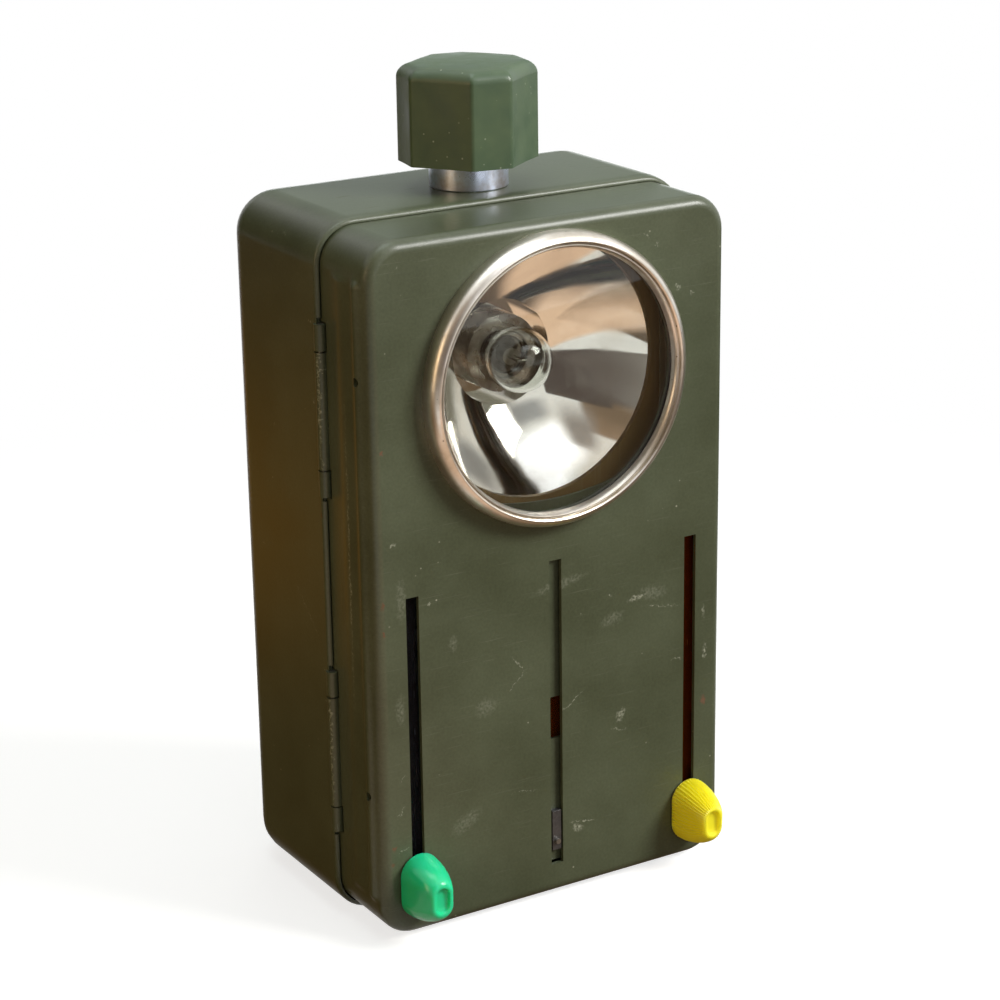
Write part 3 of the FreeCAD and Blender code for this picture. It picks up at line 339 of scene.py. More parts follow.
MIX_FACTOR, MIX_FIRST, MIX_SECOND, MIX_RESULT = 0, 6, 7, 2


def add(tree, kind, inputs=None, **settings):
    """Adds one node, with its settings, and fills its inputs with values or other nodes' outputs."""
    node = tree.nodes.new(kind)
    for name, value in settings.items():
        setattr(node, name, value)
    for key, value in (inputs or {}).items():
        if isinstance(value, bpy.types.NodeSocket):
            tree.links.new(value, node.inputs[key])
        else:
            node.inputs[key].default_value = value
    return node


def per(millimetres):
    """A texture's scale for features of a real size."""
    return 1 / (millimetres * MM)


def start_finish(name, **plain):
    """A new material with plain values on its shader, its node tree and its Object coordinates."""
    material = bpy.data.materials.new(name)
    material.use_nodes = True
    tree = material.node_tree
    for socket, value in plain.items():
        tree.nodes["Principled BSDF"].inputs[socket.replace("_", " ")].default_value = value
    return material, tree, add(tree, "ShaderNodeTexCoord").outputs["Object"]


def close_finish(material, paint, gloss, height, strength, depth):
    """Links a colour, a roughness and a relief, depth mm high, to a material's shader."""
    tree = material.node_tree
    relief = add(tree, "ShaderNodeBump", {"Height": height, "Strength": strength,
                                          "Distance": depth * MM}).outputs[0]
    for socket, output in (("Base Color", paint), ("Roughness", gloss), ("Normal", relief)):
        if output is not None:
            tree.links.new(output, tree.nodes["Principled BSDF"].inputs[socket])
    return material


def drawn_lines(tree, spot, grain, detail=2.0, slant=0.0):
    """A pattern of lines or fibres: grain is its size in mm along X, Y and Z, slant its turn about Y."""
    lanes = add(tree, "ShaderNodeMapping", {
        "Vector": spot,
        "Rotation": (0, math.radians(slant), 0),
        "Scale": [per(size) for size in grain],
    }).outputs[0]
    return add(tree, "ShaderNodeTexNoise", {"Vector": lanes, "Scale": 1.0, "Detail": detail}).outputs[0]


def speck_mask(tree, spot, apart, rim, heart, drift, thin, thick, most=1.0):
    """Round specks, apart mm from each other, let through where the slow pattern drift is high."""
    seeds = add(tree, "ShaderNodeTexVoronoi", {"Vector": spot, "Scale": per(apart)}).outputs["Distance"]
    dots = add(tree, "ShaderNodeMapRange", {"Value": seeds, "From Min": rim, "From Max": heart}).outputs[0]
    gate = add(tree, "ShaderNodeMapRange", {"Value": drift, "From Min": thin, "From Max": thick,
                                            "To Max": most}).outputs[0]
    return add(tree, "ShaderNodeMath", {0: dots, 1: gate}, operation="MULTIPLY").outputs[0]


def mark_mask(tree, ragged, marks):
    """One mask of many marked spots, worn ones and painted highlights alike: each is a centre, half sizes and
    turn in mm and degrees on one face.
    """
    total = None
    for centre, half, turn in marks:
        near = add(tree, "ShaderNodeMapping", {
            "Vector": ragged,
            "Location": [value * MM for value in centre],
            "Rotation": [math.radians(value) for value in turn],
            "Scale": [value * MM for value in half],
        }, vector_type="TEXTURE").outputs[0]
        away = add(tree, "ShaderNodeVectorMath", {0: near}, operation="LENGTH").outputs["Value"]
        spot = add(tree, "ShaderNodeMapRange", {"Value": away, "From Min": 1.15,
                                                "From Max": 0.45}).outputs[0]
        if total is None:
            total = spot
        else:
            total = add(tree, "ShaderNodeMath", {0: total, 1: spot}, operation="MAXIMUM").outputs[0]
    return total


# Worn spots, with a few lines of painted highlight along the side band: centre, half sizes and turn. Front
# marks lie in the face's X and Z, side marks in Y and Z.
FRONT_Y = -25.0
SIDE_X = -36.4
SEAM_X = -36.6
BAND_X = -37.2
SKIN = 1.6


def on_front(x, z, half_long, half_wide, turn=0.0):
    return (x, FRONT_Y, z), (half_long, SKIN, half_wide), (0, -turn, 0)


def on_left(y, z, half_long, half_wide, turn=0.0, x=SIDE_X):
    return (x, y, z), (SKIN, half_long, half_wide), (turn, 0, 0)


PALE_FRONT = [
    on_front(-7.8, 47.3, 2.1, 0.13, -50), on_front(-8.2, 44.1, 2.5, 0.11, 41),
    on_front(3.5, 37.9, 2.9, 0.13, 35), on_front(13.7, 32.8, 1.3, 0.9, 60),
    on_front(13.4, 30.1, 1.8, 0.12, -12), on_front(4.4, 12.9, 1.2, 0.8, -20),
    on_front(5.6, 13.9, 2.8, 0.14, -10), on_front(22.4, 52.0, 4.2, 0.09, -10),
    on_front(17.3, 54.7, 2.2, 0.5, 12), on_front(26.1, 41.0, 1.4, 0.10, 2),
    on_front(-6.9, 22.9, 3.0, 0.08, -6), on_front(-21.3, 53.0, 0.3, 0.3),
    on_front(-25.4, 62.5, 0.35, 0.22), on_front(11.4, 56.1, 0.4, 0.16),
    on_front(-32.4, 74.1, 0.8, 0.35, 30), on_front(-31.6, 31.3, 1.1, 0.08, 45),
    on_front(-31.8, 25.2, 1.3, 0.10, 50), on_front(-31.6, 17.8, 1.2, 0.12, 20),
    on_front(19.1, 120.5, 0.7, 0.25, -35), on_front(25.5, 110.5, 0.6, 0.45, -40),
    on_front(28.6, 109.1, 0.4, 0.3), on_front(21.2, 118.6, 0.3, 0.2),
    on_front(-29.9, 121.4, 0.25, 0.25), on_front(29.5, 20.6, 0.9, 0.1, -40),
    on_front(32.2, 41.3, 0.35, 1.6), on_front(31.9, 49.0, 0.3, 1.2),
    # Pale lines along the pressed band and the edge beside the seam: partly rubbed paint, partly painted
    # highlight where the band's edges catch the light.
    on_left(-10.0, 44.0, 0.2, 26.0, x=BAND_X), on_left(-10.1, 100.0, 0.2, 18.0, x=BAND_X),
    on_left(-17.2, 70.0, 0.25, 30.0, x=BAND_X), on_left(-20.4, 95.0, 0.2, 14.0, x=SEAM_X),
]
DUSTY_FRONT = [
    on_front(-14.6, 40.8, 2.2, 1.7, 20), on_front(11.9, 51.7, 2.6, 1.2, 10),
    on_front(20.6, 54.9, 3.2, 1.4, -8), on_front(-20.9, 54.0, 0.9, 1.6),
    on_front(-30.9, 64.0, 0.9, 4.0), on_front(-31.5, 44.0, 0.9, 3.0),
    on_front(-18.9, 20.0, 3.5, 1.6, 30), on_front(1.0, 60.5, 6.0, 0.8, 8),
]
RUST_FRONT = [
    on_front(-34.5, 63.8, 0.35, 0.9), on_front(-34.4, 58.5, 0.3, 0.5),
    on_front(-33.4, 18.4, 0.5, 0.55), on_front(32.0, 31.5, 0.55, 0.9),
    on_front(-33.9, 15.4, 0.4, 0.4), on_front(-34.0, 90.5, 0.3, 0.5),
]
PALE_SIDE = [
    on_left(-7.0, 109.8, 0.5, 0.3), on_left(2.7, 123.0, 0.6, 0.25, 20),
    on_left(-7.6, 95.8, 0.25, 0.6), on_left(-8.6, 90.7, 0.25, 1.4),
    on_left(-8.2, 47.2, 0.6, 0.25), on_left(-8.9, 41.3, 1.6, 0.3, -10),
    on_left(-1.7, 56.8, 6.4, 0.09, 43), on_left(8.0, 88.0, 0.3, 0.2),
    on_left(-0.5, 30.0, 0.4, 0.2), on_left(14.0, 64.0, 0.5, 0.15),
]
RUST_SIDE = [
    on_left(-8.7, 92.0, 0.4, 0.8), on_left(-9.0, 40.4, 0.9, 0.5),
    on_left(-8.9, 20.2, 0.4, 0.5), on_left(-8.8, 76.0, 0.3, 0.5),
]


def enamel(name, colours, pale_marks=(), dusty_marks=(), rust_marks=()):
    """Stoved olive enamel on pressed steel: half gloss, orange peel, dust, rubs and chips to primer, and some
    painted highlight among the pale marks.
    """
    material, tree, spot = start_finish(name, IOR=1.5)
    # Slow drifts of tone, about 22 mm across, and a fine grain of paint and dust, 0.5 mm across.
    cloud = add(tree, "ShaderNodeTexNoise", {"Vector": spot, "Scale": per(22), "Detail": 4.0,
                                             "Roughness": 0.6}).outputs[0]
    grain = add(tree, "ShaderNodeTexNoise", {"Vector": spot, "Scale": per(0.5), "Detail": 2.0}).outputs[0]
    drift = add(tree, "ShaderNodeMapRange", {"Value": cloud, "From Min": 0.35, "From Max": 0.72}).outputs[0]
    base = add(tree, "ShaderNodeMix", {MIX_FACTOR: drift, MIX_FIRST: colours.enamel,
                                       MIX_SECOND: colours.enamel_pale}, data_type="RGBA").outputs[MIX_RESULT]
    mottle = add(tree, "ShaderNodeMapRange", {"Value": grain, "From Min": 0.3, "From Max": 0.7,
                                              "To Min": 0.9, "To Max": 1.09}).outputs[0]
    toned = add(tree, "ShaderNodeVectorMath", {0: base, 1: mottle}, operation="MULTIPLY").outputs[0]
    # Pin-head specks of primer, thrown 3 mm apart in patches of about 9 mm.
    patchy = add(tree, "ShaderNodeTexNoise", {"Vector": spot, "Scale": per(9.0)}).outputs[0]
    specks = speck_mask(tree, spot, 3.0, 0.075, 0.035, patchy, 0.55, 0.66)
    # Hairline rubs, 0.16 mm wide and some 9 mm long, at two slants.
    rubs = None
    for slant in (24, -57):
        line = drawn_lines(tree, spot, (9.0, 2.0, 0.16), 1.0, slant)
        thin = add(tree, "ShaderNodeMapRange", {"Value": line, "From Min": 0.735,
                                                "From Max": 0.79}).outputs[0]
        rubs = thin if rubs is None else add(tree, "ShaderNodeMath", {0: rubs, 1: thin},
                                             operation="MAXIMUM").outputs[0]
    # Knocks have ragged rims, so the marks are read through a shake of about 0.4 mm either way.
    shake = add(tree, "ShaderNodeTexNoise", {"Vector": spot, "Scale": per(0.7),
                                             "Detail": 3.0}).outputs["Color"]
    centred = add(tree, "ShaderNodeVectorMath", {0: shake, 1: (0.5, 0.5, 0.5)},
                  operation="SUBTRACT").outputs[0]
    push = add(tree, "ShaderNodeVectorMath", {0: centred, "Scale": 1.7 * MM}, operation="SCALE").outputs[0]
    ragged = add(tree, "ShaderNodeVectorMath", {0: spot, 1: push}, operation="ADD").outputs[0]
    # Dust and scuffs break up into crumbs as small as the grain.
    crumbs = add(tree, "ShaderNodeMapRange", {"Value": grain, "From Min": 0.40, "From Max": 0.60,
                                              "To Min": 0.25, "To Max": 1.25}, clamp=False).outputs[0]
    layers = [(specks, "#a3a48f", 0.8), (rubs, "#767964", 0.28)]
    # The pale marks are rubbed paint, and on the door's side band partly painted highlight.
    for marks, tone, strength, crumbly in (
        (dusty_marks, "#7e8270", 0.32, True),
        (pale_marks, "#9c9f8c", 0.62, True),
        (rust_marks, "#6b4a33", 0.85, False),
    ):
        if marks:
            mask = mark_mask(tree, ragged, marks)
            if crumbly:
                mask = add(tree, "ShaderNodeMath", {0: mask, 1: crumbs}, operation="MULTIPLY").outputs[0]
            layers.append((mask, tone, strength))
    bare = None
    for mask, tone, strength in layers:
        share = add(tree, "ShaderNodeMath", {0: mask, 1: strength}, operation="MULTIPLY").outputs[0]
        toned = add(tree, "ShaderNodeMix", {MIX_FACTOR: share, MIX_FIRST: toned, MIX_SECOND: linear(tone)},
                    data_type="RGBA").outputs[MIX_RESULT]
        bare = share if bare is None else add(tree, "ShaderNodeMath", {0: bare, 1: share},
                                              operation="MAXIMUM").outputs[0]
    gloss = add(tree, "ShaderNodeMapRange", {"Value": cloud, "From Min": 0.3, "From Max": 0.75,
                                             "To Min": 0.29, "To Max": 0.37}).outputs[0]
    dulled = add(tree, "ShaderNodeMath", {0: bare, 1: 0.35, 2: gloss}, operation="MULTIPLY_ADD").outputs[0]
    # Orange peel, 1.1 mm from crest to crest, and the scored line of each rub.
    peel = add(tree, "ShaderNodeTexNoise", {"Vector": spot, "Scale": per(1.1), "Detail": 2.0}).outputs[0]
    level = add(tree, "ShaderNodeMath", {0: rubs, 1: -0.8, 2: peel}, operation="MULTIPLY_ADD").outputs[0]
    return close_finish(material, toned, dulled, level, 0.35, 0.03)


def inner_enamel(name, first, second, rubbed):
    """Thin enamel or lacquer inside the lamp: flatter, with bare streaks where plates slide over it."""
    material, tree, spot = start_finish(name, IOR=1.5)
    cloud = add(tree, "ShaderNodeTexNoise", {"Vector": spot, "Scale": per(12), "Detail": 4.0}).outputs[0]
    streak = drawn_lines(tree, spot, (0.5, 3.0, 30))
    share = add(tree, "ShaderNodeMapRange", {"Value": streak, "From Min": 0.55, "From Max": 0.8,
                                             "To Max": 0.5}).outputs[0]
    base = add(tree, "ShaderNodeMix", {MIX_FACTOR: cloud, MIX_FIRST: first, MIX_SECOND: second},
               data_type="RGBA").outputs[MIX_RESULT]
    toned = add(tree, "ShaderNodeMix", {MIX_FACTOR: share, MIX_FIRST: base, MIX_SECOND: rubbed},
                data_type="RGBA").outputs[MIX_RESULT]
    gloss = add(tree, "ShaderNodeMapRange", {"Value": cloud, "To Min": 0.42, "To Max": 0.66}).outputs[0]
    return close_finish(material, toned, gloss, streak, 0.2, 0.03)


def worn_metal(name, base_colour, tarnish, dull, bright, grain_size):
    """Plated metal, wiped bright on high spots, clouded by handling, with a fine drawn grain."""
    material, tree, spot = start_finish(name, Metallic=1.0)
    cloud = add(tree, "ShaderNodeTexNoise", {"Vector": spot, "Scale": per(5.0), "Detail": 5.0,
                                             "Roughness": 0.62}).outputs[0]
    share = add(tree, "ShaderNodeMapRange", {"Value": cloud, "From Min": 0.42, "From Max": 0.7}).outputs[0]
    toned = add(tree, "ShaderNodeMix", {MIX_FACTOR: share, MIX_FIRST: base_colour,
                                        MIX_SECOND: linear(tarnish)}, data_type="RGBA").outputs[MIX_RESULT]
    gloss = add(tree, "ShaderNodeMapRange", {"Value": cloud, "From Min": 0.35, "From Max": 0.7,
                                             "To Min": bright, "To Max": dull}).outputs[0]
    line = drawn_lines(tree, spot, (grain_size, grain_size, grain_size * 8))
    return close_finish(material, toned, gloss, line, 0.12, 0.02)


def ring_metal(colours):
    """Nickelled brass ring, spun in a lathe: thin warm plating, with turning lines round the axis."""
    material, tree, spot = start_finish("nickelled_brass_ring", Metallic=1.0)
    from_axis = add(tree, "ShaderNodeVectorMath", {0: spot, 1: tuple(LENS_CENTRE)},
                    operation="SUBTRACT").outputs[0]
    flat = add(tree, "ShaderNodeVectorMath", {0: from_axis, 1: (1, 0, 1)}, operation="MULTIPLY").outputs[0]
    radius = add(tree, "ShaderNodeVectorMath", {0: flat}, operation="LENGTH").outputs["Value"]
    depth = add(tree, "ShaderNodeSeparateXYZ", {0: from_axis}).outputs[1]
    along = add(tree, "ShaderNodeMath", {0: radius, 1: depth}, operation="ADD").outputs[0]
    lines = add(tree, "ShaderNodeTexNoise", {"W": along, "Scale": per(0.18), "Detail": 2.0},
                noise_dimensions="1D").outputs[0]
    cloud = add(tree, "ShaderNodeTexNoise", {"Vector": spot, "Scale": per(9.0), "Detail": 4.0,
                                             "Roughness": 0.6}).outputs[0]
    # Pits through the plating, 2.2 mm apart.
    pits = add(tree, "ShaderNodeTexVoronoi", {"Vector": spot, "Scale": per(2.2)}).outputs["Distance"]
    pitted = add(tree, "ShaderNodeMapRange", {"Value": pits, "From Min": 0.08, "From Max": 0.03}).outputs[0]
    share = add(tree, "ShaderNodeMapRange", {"Value": cloud, "From Min": 0.4, "From Max": 0.68}).outputs[0]
    toned = colours.ring
    for mask, tone in ((share, "#bfb6a6"), (pitted, "#55452f")):
        toned = add(tree, "ShaderNodeMix", {MIX_FACTOR: mask, MIX_FIRST: toned, MIX_SECOND: linear(tone)},
                    data_type="RGBA").outputs[MIX_RESULT]
    gloss = add(tree, "ShaderNodeMapRange", {"Value": cloud, "From Min": 0.35, "From Max": 0.7,
                                             "To Min": 0.28, "To Max": 0.38}).outputs[0]
    return close_finish(material, toned, gloss, lines, 0.08, 0.02)


def mirror_metal():
    """Silvered reflector: bright and slightly wavy from spinning, with a haze of age here and there."""
    material, tree, spot = start_finish("silvered_reflector", Metallic=1.0)
    cloud = add(tree, "ShaderNodeTexNoise", {"Vector": spot, "Scale": per(7.0), "Detail": 5.0,
                                             "Roughness": 0.6}).outputs[0]
    share = add(tree, "ShaderNodeMapRange", {"Value": cloud, "From Min": 0.45, "From Max": 0.75,
                                             "To Max": 0.5}).outputs[0]
    toned = add(tree, "ShaderNodeMix", {MIX_FACTOR: share, MIX_FIRST: linear("#f5f1ec"),
                                        MIX_SECOND: linear("#d8cec2")}, data_type="RGBA").outputs[MIX_RESULT]
    gloss = add(tree, "ShaderNodeMapRange", {"Value": cloud, "From Min": 0.35, "From Max": 0.75,
                                             "To Min": 0.03, "To Max": 0.13}).outputs[0]
    wave = add(tree, "ShaderNodeTexNoise", {"Vector": spot, "Scale": per(9.0), "Detail": 1.5}).outputs[0]
    return close_finish(material, toned, gloss, wave, 0.5, 0.12)


def clear_glass():
    """Pressed lens glass: clear, with faint smears and the slight waves of pressing."""
    material, tree, spot = start_finish("pressed_clear_glass", IOR=1.5, Transmission_Weight=1.0,
                                        Base_Color=linear("#f6f8f4"))
    smear = add(tree, "ShaderNodeTexNoise", {"Vector": spot, "Scale": per(6.0), "Detail": 4.0}).outputs[0]
    gloss = add(tree, "ShaderNodeMapRange", {"Value": smear, "From Min": 0.55, "From Max": 0.8,
                                             "To Min": 0.0, "To Max": 0.06}).outputs[0]
    wave = add(tree, "ShaderNodeTexNoise", {"Vector": spot, "Scale": per(14.0)}).outputs[0]
    return close_finish(material, None, gloss, wave, 0.2, 0.05)


def moulded_plastic(name, base_colour, worn, gloss_low, gloss_high, grain_size, bump, soak=0.0, dust=None):
    """Moulded plastic: a slow cloud, a fine mould grain, small nicks, a little light soaking in."""
    material, tree, spot = start_finish(name, IOR=1.49, Subsurface_Weight=soak,
                                        Subsurface_Scale=1.2 * MM, Subsurface_Radius=(1.0, 1.0, 0.7))
    cloud = add(tree, "ShaderNodeTexNoise", {"Vector": spot, "Scale": per(5.0), "Detail": 3.0}).outputs[0]
    nicks = speck_mask(tree, spot, 2.6, 0.085, 0.04, cloud, 0.5, 0.6)
    share = add(tree, "ShaderNodeMapRange", {"Value": cloud, "From Min": 0.35, "From Max": 0.75,
                                             "To Max": 0.5}).outputs[0]
    either = add(tree, "ShaderNodeMath", {0: share, 1: nicks}, operation="MAXIMUM").outputs[0]
    layers = [(either, worn)]
    if dust:
        # White specks caught in the mould grain, 1.8 mm apart, thicker in some places.
        drift = add(tree, "ShaderNodeTexNoise", {"Vector": spot, "Scale": per(4.0)}).outputs[0]
        layers.append((speck_mask(tree, spot, 1.8, 0.11, 0.05, drift, 0.46, 0.6, 0.8), dust))
    toned = base_colour
    for mask, tone in layers:
        toned = add(tree, "ShaderNodeMix", {MIX_FACTOR: mask, MIX_FIRST: toned, MIX_SECOND: linear(tone)},
                    data_type="RGBA").outputs[MIX_RESULT]
    gloss = add(tree, "ShaderNodeMapRange", {"Value": cloud, "From Min": 0.35, "From Max": 0.7,
                                             "To Min": gloss_low, "To Max": gloss_high}).outputs[0]
    grain = add(tree, "ShaderNodeTexNoise", {"Vector": spot, "Scale": per(grain_size),
                                             "Detail": 2.0}).outputs[0]
    return close_finish(material, toned, gloss, grain, bump, 0.03)


# Where a sheet's tape begins and where it is full, across the lamp in mm; NO_TAPE lies outside the lamp.
NO_TAPE = (40.0, 41.0)
GREEN_TAPE = (-25.6, -25.9)


def filter_sheet(name, code, tape=NO_TAPE):
    """Dyed celluloid sheet: see-through, wiped along its travel, dusty, with grey tape on its outer edge."""
    material, tree, spot = start_finish(name, IOR=1.49, Transmission_Weight=0.86)
    line = drawn_lines(tree, spot, (0.4, 2.0, 20))
    across = add(tree, "ShaderNodeSeparateXYZ", {0: spot}).outputs[0]
    taped = add(tree, "ShaderNodeMapRange", {"Value": across, "From Min": tape[0] * MM,
                                             "From Max": tape[1] * MM}).outputs[0]
    drift = add(tree, "ShaderNodeTexNoise", {"Vector": spot, "Scale": per(5.0), "Detail": 2.0}).outputs[0]
    dust = speck_mask(tree, spot, 0.9, 0.13, 0.06, drift, 0.52, 0.66)
    toned = linear(code)
    for mask, tone in ((taped, "#9a99a4"), (dust, "#b9b6ac")):
        toned = add(tree, "ShaderNodeMix", {MIX_FACTOR: mask, MIX_FIRST: toned, MIX_SECOND: linear(tone)},
                    data_type="RGBA").outputs[MIX_RESULT]
    gloss = add(tree, "ShaderNodeMapRange", {"Value": line, "From Min": 0.5, "From Max": 0.8,
                                             "To Min": 0.1, "To Max": 0.35}).outputs[0]
    return close_finish(material, toned, gloss, line, 0.1, 0.02)


def board(name, first, second, gloss, thread):
    """Pressed paper, card or rubber: short fibres or grain that lie one way, and a dry surface."""
    material, tree, spot = start_finish(name, IOR=1.45)
    fibre = drawn_lines(tree, spot, (thread * 6, thread, thread), 4.0)
    toned = add(tree, "ShaderNodeMix", {MIX_FACTOR: fibre, MIX_FIRST: linear(first),
                                        MIX_SECOND: linear(second)}, data_type="RGBA").outputs[MIX_RESULT]
    dry = add(tree, "ShaderNodeMapRange", {"Value": fibre, "To Min": gloss - 0.08,
                                           "To Max": gloss + 0.08}).outputs[0]
    return close_finish(material, toned, dry, fibre, 0.25, 0.04)


FINISHES = {}


# ---------------------------------------------------------------- operators

class LAMP_OT_finishes(bpy.types.Operator):
    """Make every finish and give it to the frame's own pieces"""

    bl_idname = "lamp.finishes"
    bl_label = "Finishes"

    def execute(self, context):
        colours = context.scene.lamp_colours
        FINISHES.update({
            "olive_enamel": enamel("stoved_olive_enamel", colours),
            "door_enamel": enamel("stoved_olive_enamel_door", colours, PALE_FRONT, DUSTY_FRONT, RUST_FRONT),
            "case_enamel": enamel("stoved_olive_enamel_case", colours, PALE_SIDE, (), RUST_SIDE),
            "inner_enamel": inner_enamel("thin_inner_enamel", colours.inside, linear("#5e5238"),
                                         linear("#7c7258")),
            # Brown lacquer on the reflector's plate, painted paler than the lacquer is: painted light, since
            # the plate sits in shade inside the lamp.
            "shellac": inner_enamel("lacquer_and_painted_light_on_plate", linear("#75592f"), linear("#806a42"),
                                    linear("#8c7a58")),
            "plain_steel": worn_metal("zinced_steel", colours.steel, "#6f6a60", 0.55, 0.3, 0.3),
            "shutter_steel": worn_metal("worn_shutter_steel", linear("#77787a"), "#3d3a36", 0.6, 0.4, 0.4),
            "bezel_metal": worn_metal("nickelled_switch_collar", linear("#e0eaff"), "#aca6a6",
                                      0.40, 0.24, 0.4),
            "bulb_cap": worn_metal("nickelled_bulb_cap", linear("#c9c6c0"), "#7d766c", 0.4, 0.22, 0.3),
            "contact_brass": worn_metal("drawn_contact_brass", linear("#c3a15e"), "#7f6236",
                                        0.45, 0.22, 0.25),
            "ring_metal": ring_metal(colours),
            "reflector_mirror": mirror_metal(),
            "lens_glass": clear_glass(),
            "green_plastic": moulded_plastic("polished_green_plastic", colours.green, "#34dca4",
                                             0.16, 0.26, 0.8, 0.1, 0.6),
            "yellow_plastic": moulded_plastic("fluted_yellow_plastic", colours.yellow, "#fff04a",
                                              0.3, 0.4, 0.5, 0.1, 0.7),
            "olive_plastic": moulded_plastic("moulded_olive_plastic", colours.knob, "#5c6d4c",
                                             0.28, 0.42, 0.45, 0.22, dust="#b4bba6"),
            "green_sheet": filter_sheet("green_celluloid", "#149a50", GREEN_TAPE),
            "amber_sheet": filter_sheet("amber_celluloid", "#e0781c"),
            "gasket_rubber": board("black_gasket_rubber", "#1b1a18", "#2b2925", 0.75, 0.3),
            "battery_jacket": board("waxed_battery_card", "#3f4d5e", "#50606f", 0.5, 0.25),
            "fibre_board": board("vulcanised_fibre_board", "#5b3a24", "#7a5233", 0.55, 0.2),
        })
        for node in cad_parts.values():
            for place in node.material_slots:
                place.material = FINISHES[place.material.name.split(".")[0]]
        # The reflector's plate takes the brown lacquer that is painted paler, as painted light for the shade
        # it sits in.
        for name, finish in (("bulb_base", "bulb_cap"), ("bulb_holder", "bulb_cap"),
                             ("reflector_plate", "shellac")):
            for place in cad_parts[name].material_slots:
                place.material = FINISHES[finish]
        return {"FINISHED"}


# The hinge: each row is its foot and the lengths of the case's and the door's knuckles, in mm.
HINGE = Vector((-36.4 * MM, -9.5 * MM, 0))
KNUCKLE_ROWS = [(16.9, 4.6, 20.6), (79.4, 4.6, 20.6)]
KNUCKLE_GAP = 0.3
KNUCKLE_RADIUS = 1.1
KNUCKLE_ROOM = 1.4
PIN_BORE = 0.55
PIN_END = 1.0
# How far the case's top edge sinks at its mouth, towards the front shell, in mm.
LIP_SINK = 0.2
# Holes in the rear case, in mm: for the switch's collar, and for the belt clip's two rivets.
COLLAR_HOLE = 5.4
CLIP_HOLE = 1.25
CLIP_HEIGHTS = (101, 108)
# The front shell's openings, in mm: the lens hole, the slots by their middle and top, and the rivet holes.
LENS_HOLE = 23.4
SLOT_HALF = 1.25
SLOT_FOOT = 6.9
SLOTS = ((-28.75, 64.15), (0.0, 65.2), (28.75, 64.15))
RAIL_RIVET_HOLE = 0.8
RAIL_RIVET_Y = -21.7
RAIL_RIVET_HEIGHTS = (28.1, 102.5)
# The latch's keeper on the front shell's right side.
KEEPER_LOW = (35.5 * MM, -14.2 * MM, 60.5 * MM)
KEEPER_HIGH = (37.4 * MM, -12.9 * MM, 67.5 * MM)


def drawn_pan(low, high, corner, rim, closed_y):
    """A box with round long corners, a round rim at its closed end, and its other end open."""
    bm = block(low, high)
    open_y = high.y if closed_y == low.y else low.y
    round_edges(bm, [edge for edge in bm.edges if runs_along(edge, Y)], corner, 10)
    round_edges(bm, [edge for edge in bm.edges if lies_at(edge, Y, closed_y)], rim, 6)
    mouth = [face for face in bm.faces if lies_at(face, Y, open_y)]
    bmesh.ops.delete(bm, geom=mouth, context="FACES_ONLY")
    return bm


def give_wall(thing, thickness):
    """Turns a sheet into a wall that grows inwards."""
    step = thing.modifiers.new("wall", "SOLIDIFY")
    step.thickness = thickness
    step.offset = -1
    step.use_even_offset = True
    apply_modifiers(thing)


def roll_lip(thing, radius):
    """Rolls the rear case's mouth in over the front shell, and closes the gap along its top."""
    middle = Vector((0, 0, (CASE_LOW.z + CASE_HIGH.z) / 2))
    bm = bmesh.new()
    bm.from_mesh(thing.data)
    cut_across(bm, Y, HINGE.y + 2 * MM)
    lip = [edge for edge in bm.edges if lies_at(edge, Y, HINGE.y)
           and any(abs(face.normal.y) < 0.1 and face.normal.dot(edge.verts[0].co - middle) > 0
                   for face in edge.link_faces)]
    round_edges(bm, lip, radius, 5)
    for vert in bm.verts:
        if vert.co.y < HINGE.y + MM:
            vert.co.z -= LIP_SINK * MM * smooth_step(vert.co.z, CASE_HIGH.z - 4 * MM, CASE_HIGH.z - MM)
    bm.to_mesh(thing.data)
    bm.free()


def knuckle_spans(owner):
    """Bottom and top of each of one shell's hinge knuckles."""
    spans = []
    for low, case_part, door_part in KNUCKLE_ROWS:
        door_low = low + case_part + KNUCKLE_GAP
        door_high = door_low + door_part
        if owner == "door":
            spans.append((door_low, door_high))
        else:
            spans.append((low, low + case_part))
            spans.append((door_high + KNUCKLE_GAP, door_high + KNUCKLE_GAP + case_part))
    return spans


def hinge_bars(owner, radius, extra):
    """Bars along the hinge at one shell's knuckles, each longer by extra mm at both ends."""
    return [bar(radius * MM, HINGE + Vector((0, 0, (low - extra) * MM)),
                HINGE + Vector((0, 0, (high + extra) * MM)), 24) for low, high in knuckle_spans(owner)]


def hang_on_hinge(shell, owner, other, cuts, *joined):
    """Clears the other shell's knuckles, adds this shell's own and any joined pieces, and cuts its holes."""
    carve(shell, "DIFFERENCE", *hinge_bars(other, KNUCKLE_ROOM, KNUCKLE_GAP))
    carve(shell, "UNION", *joined, *hinge_bars(owner, KNUCKLE_RADIUS, 0.0))
    carve(shell, "DIFFERENCE", *cuts, *hinge_bars(owner, PIN_BORE, PIN_END))


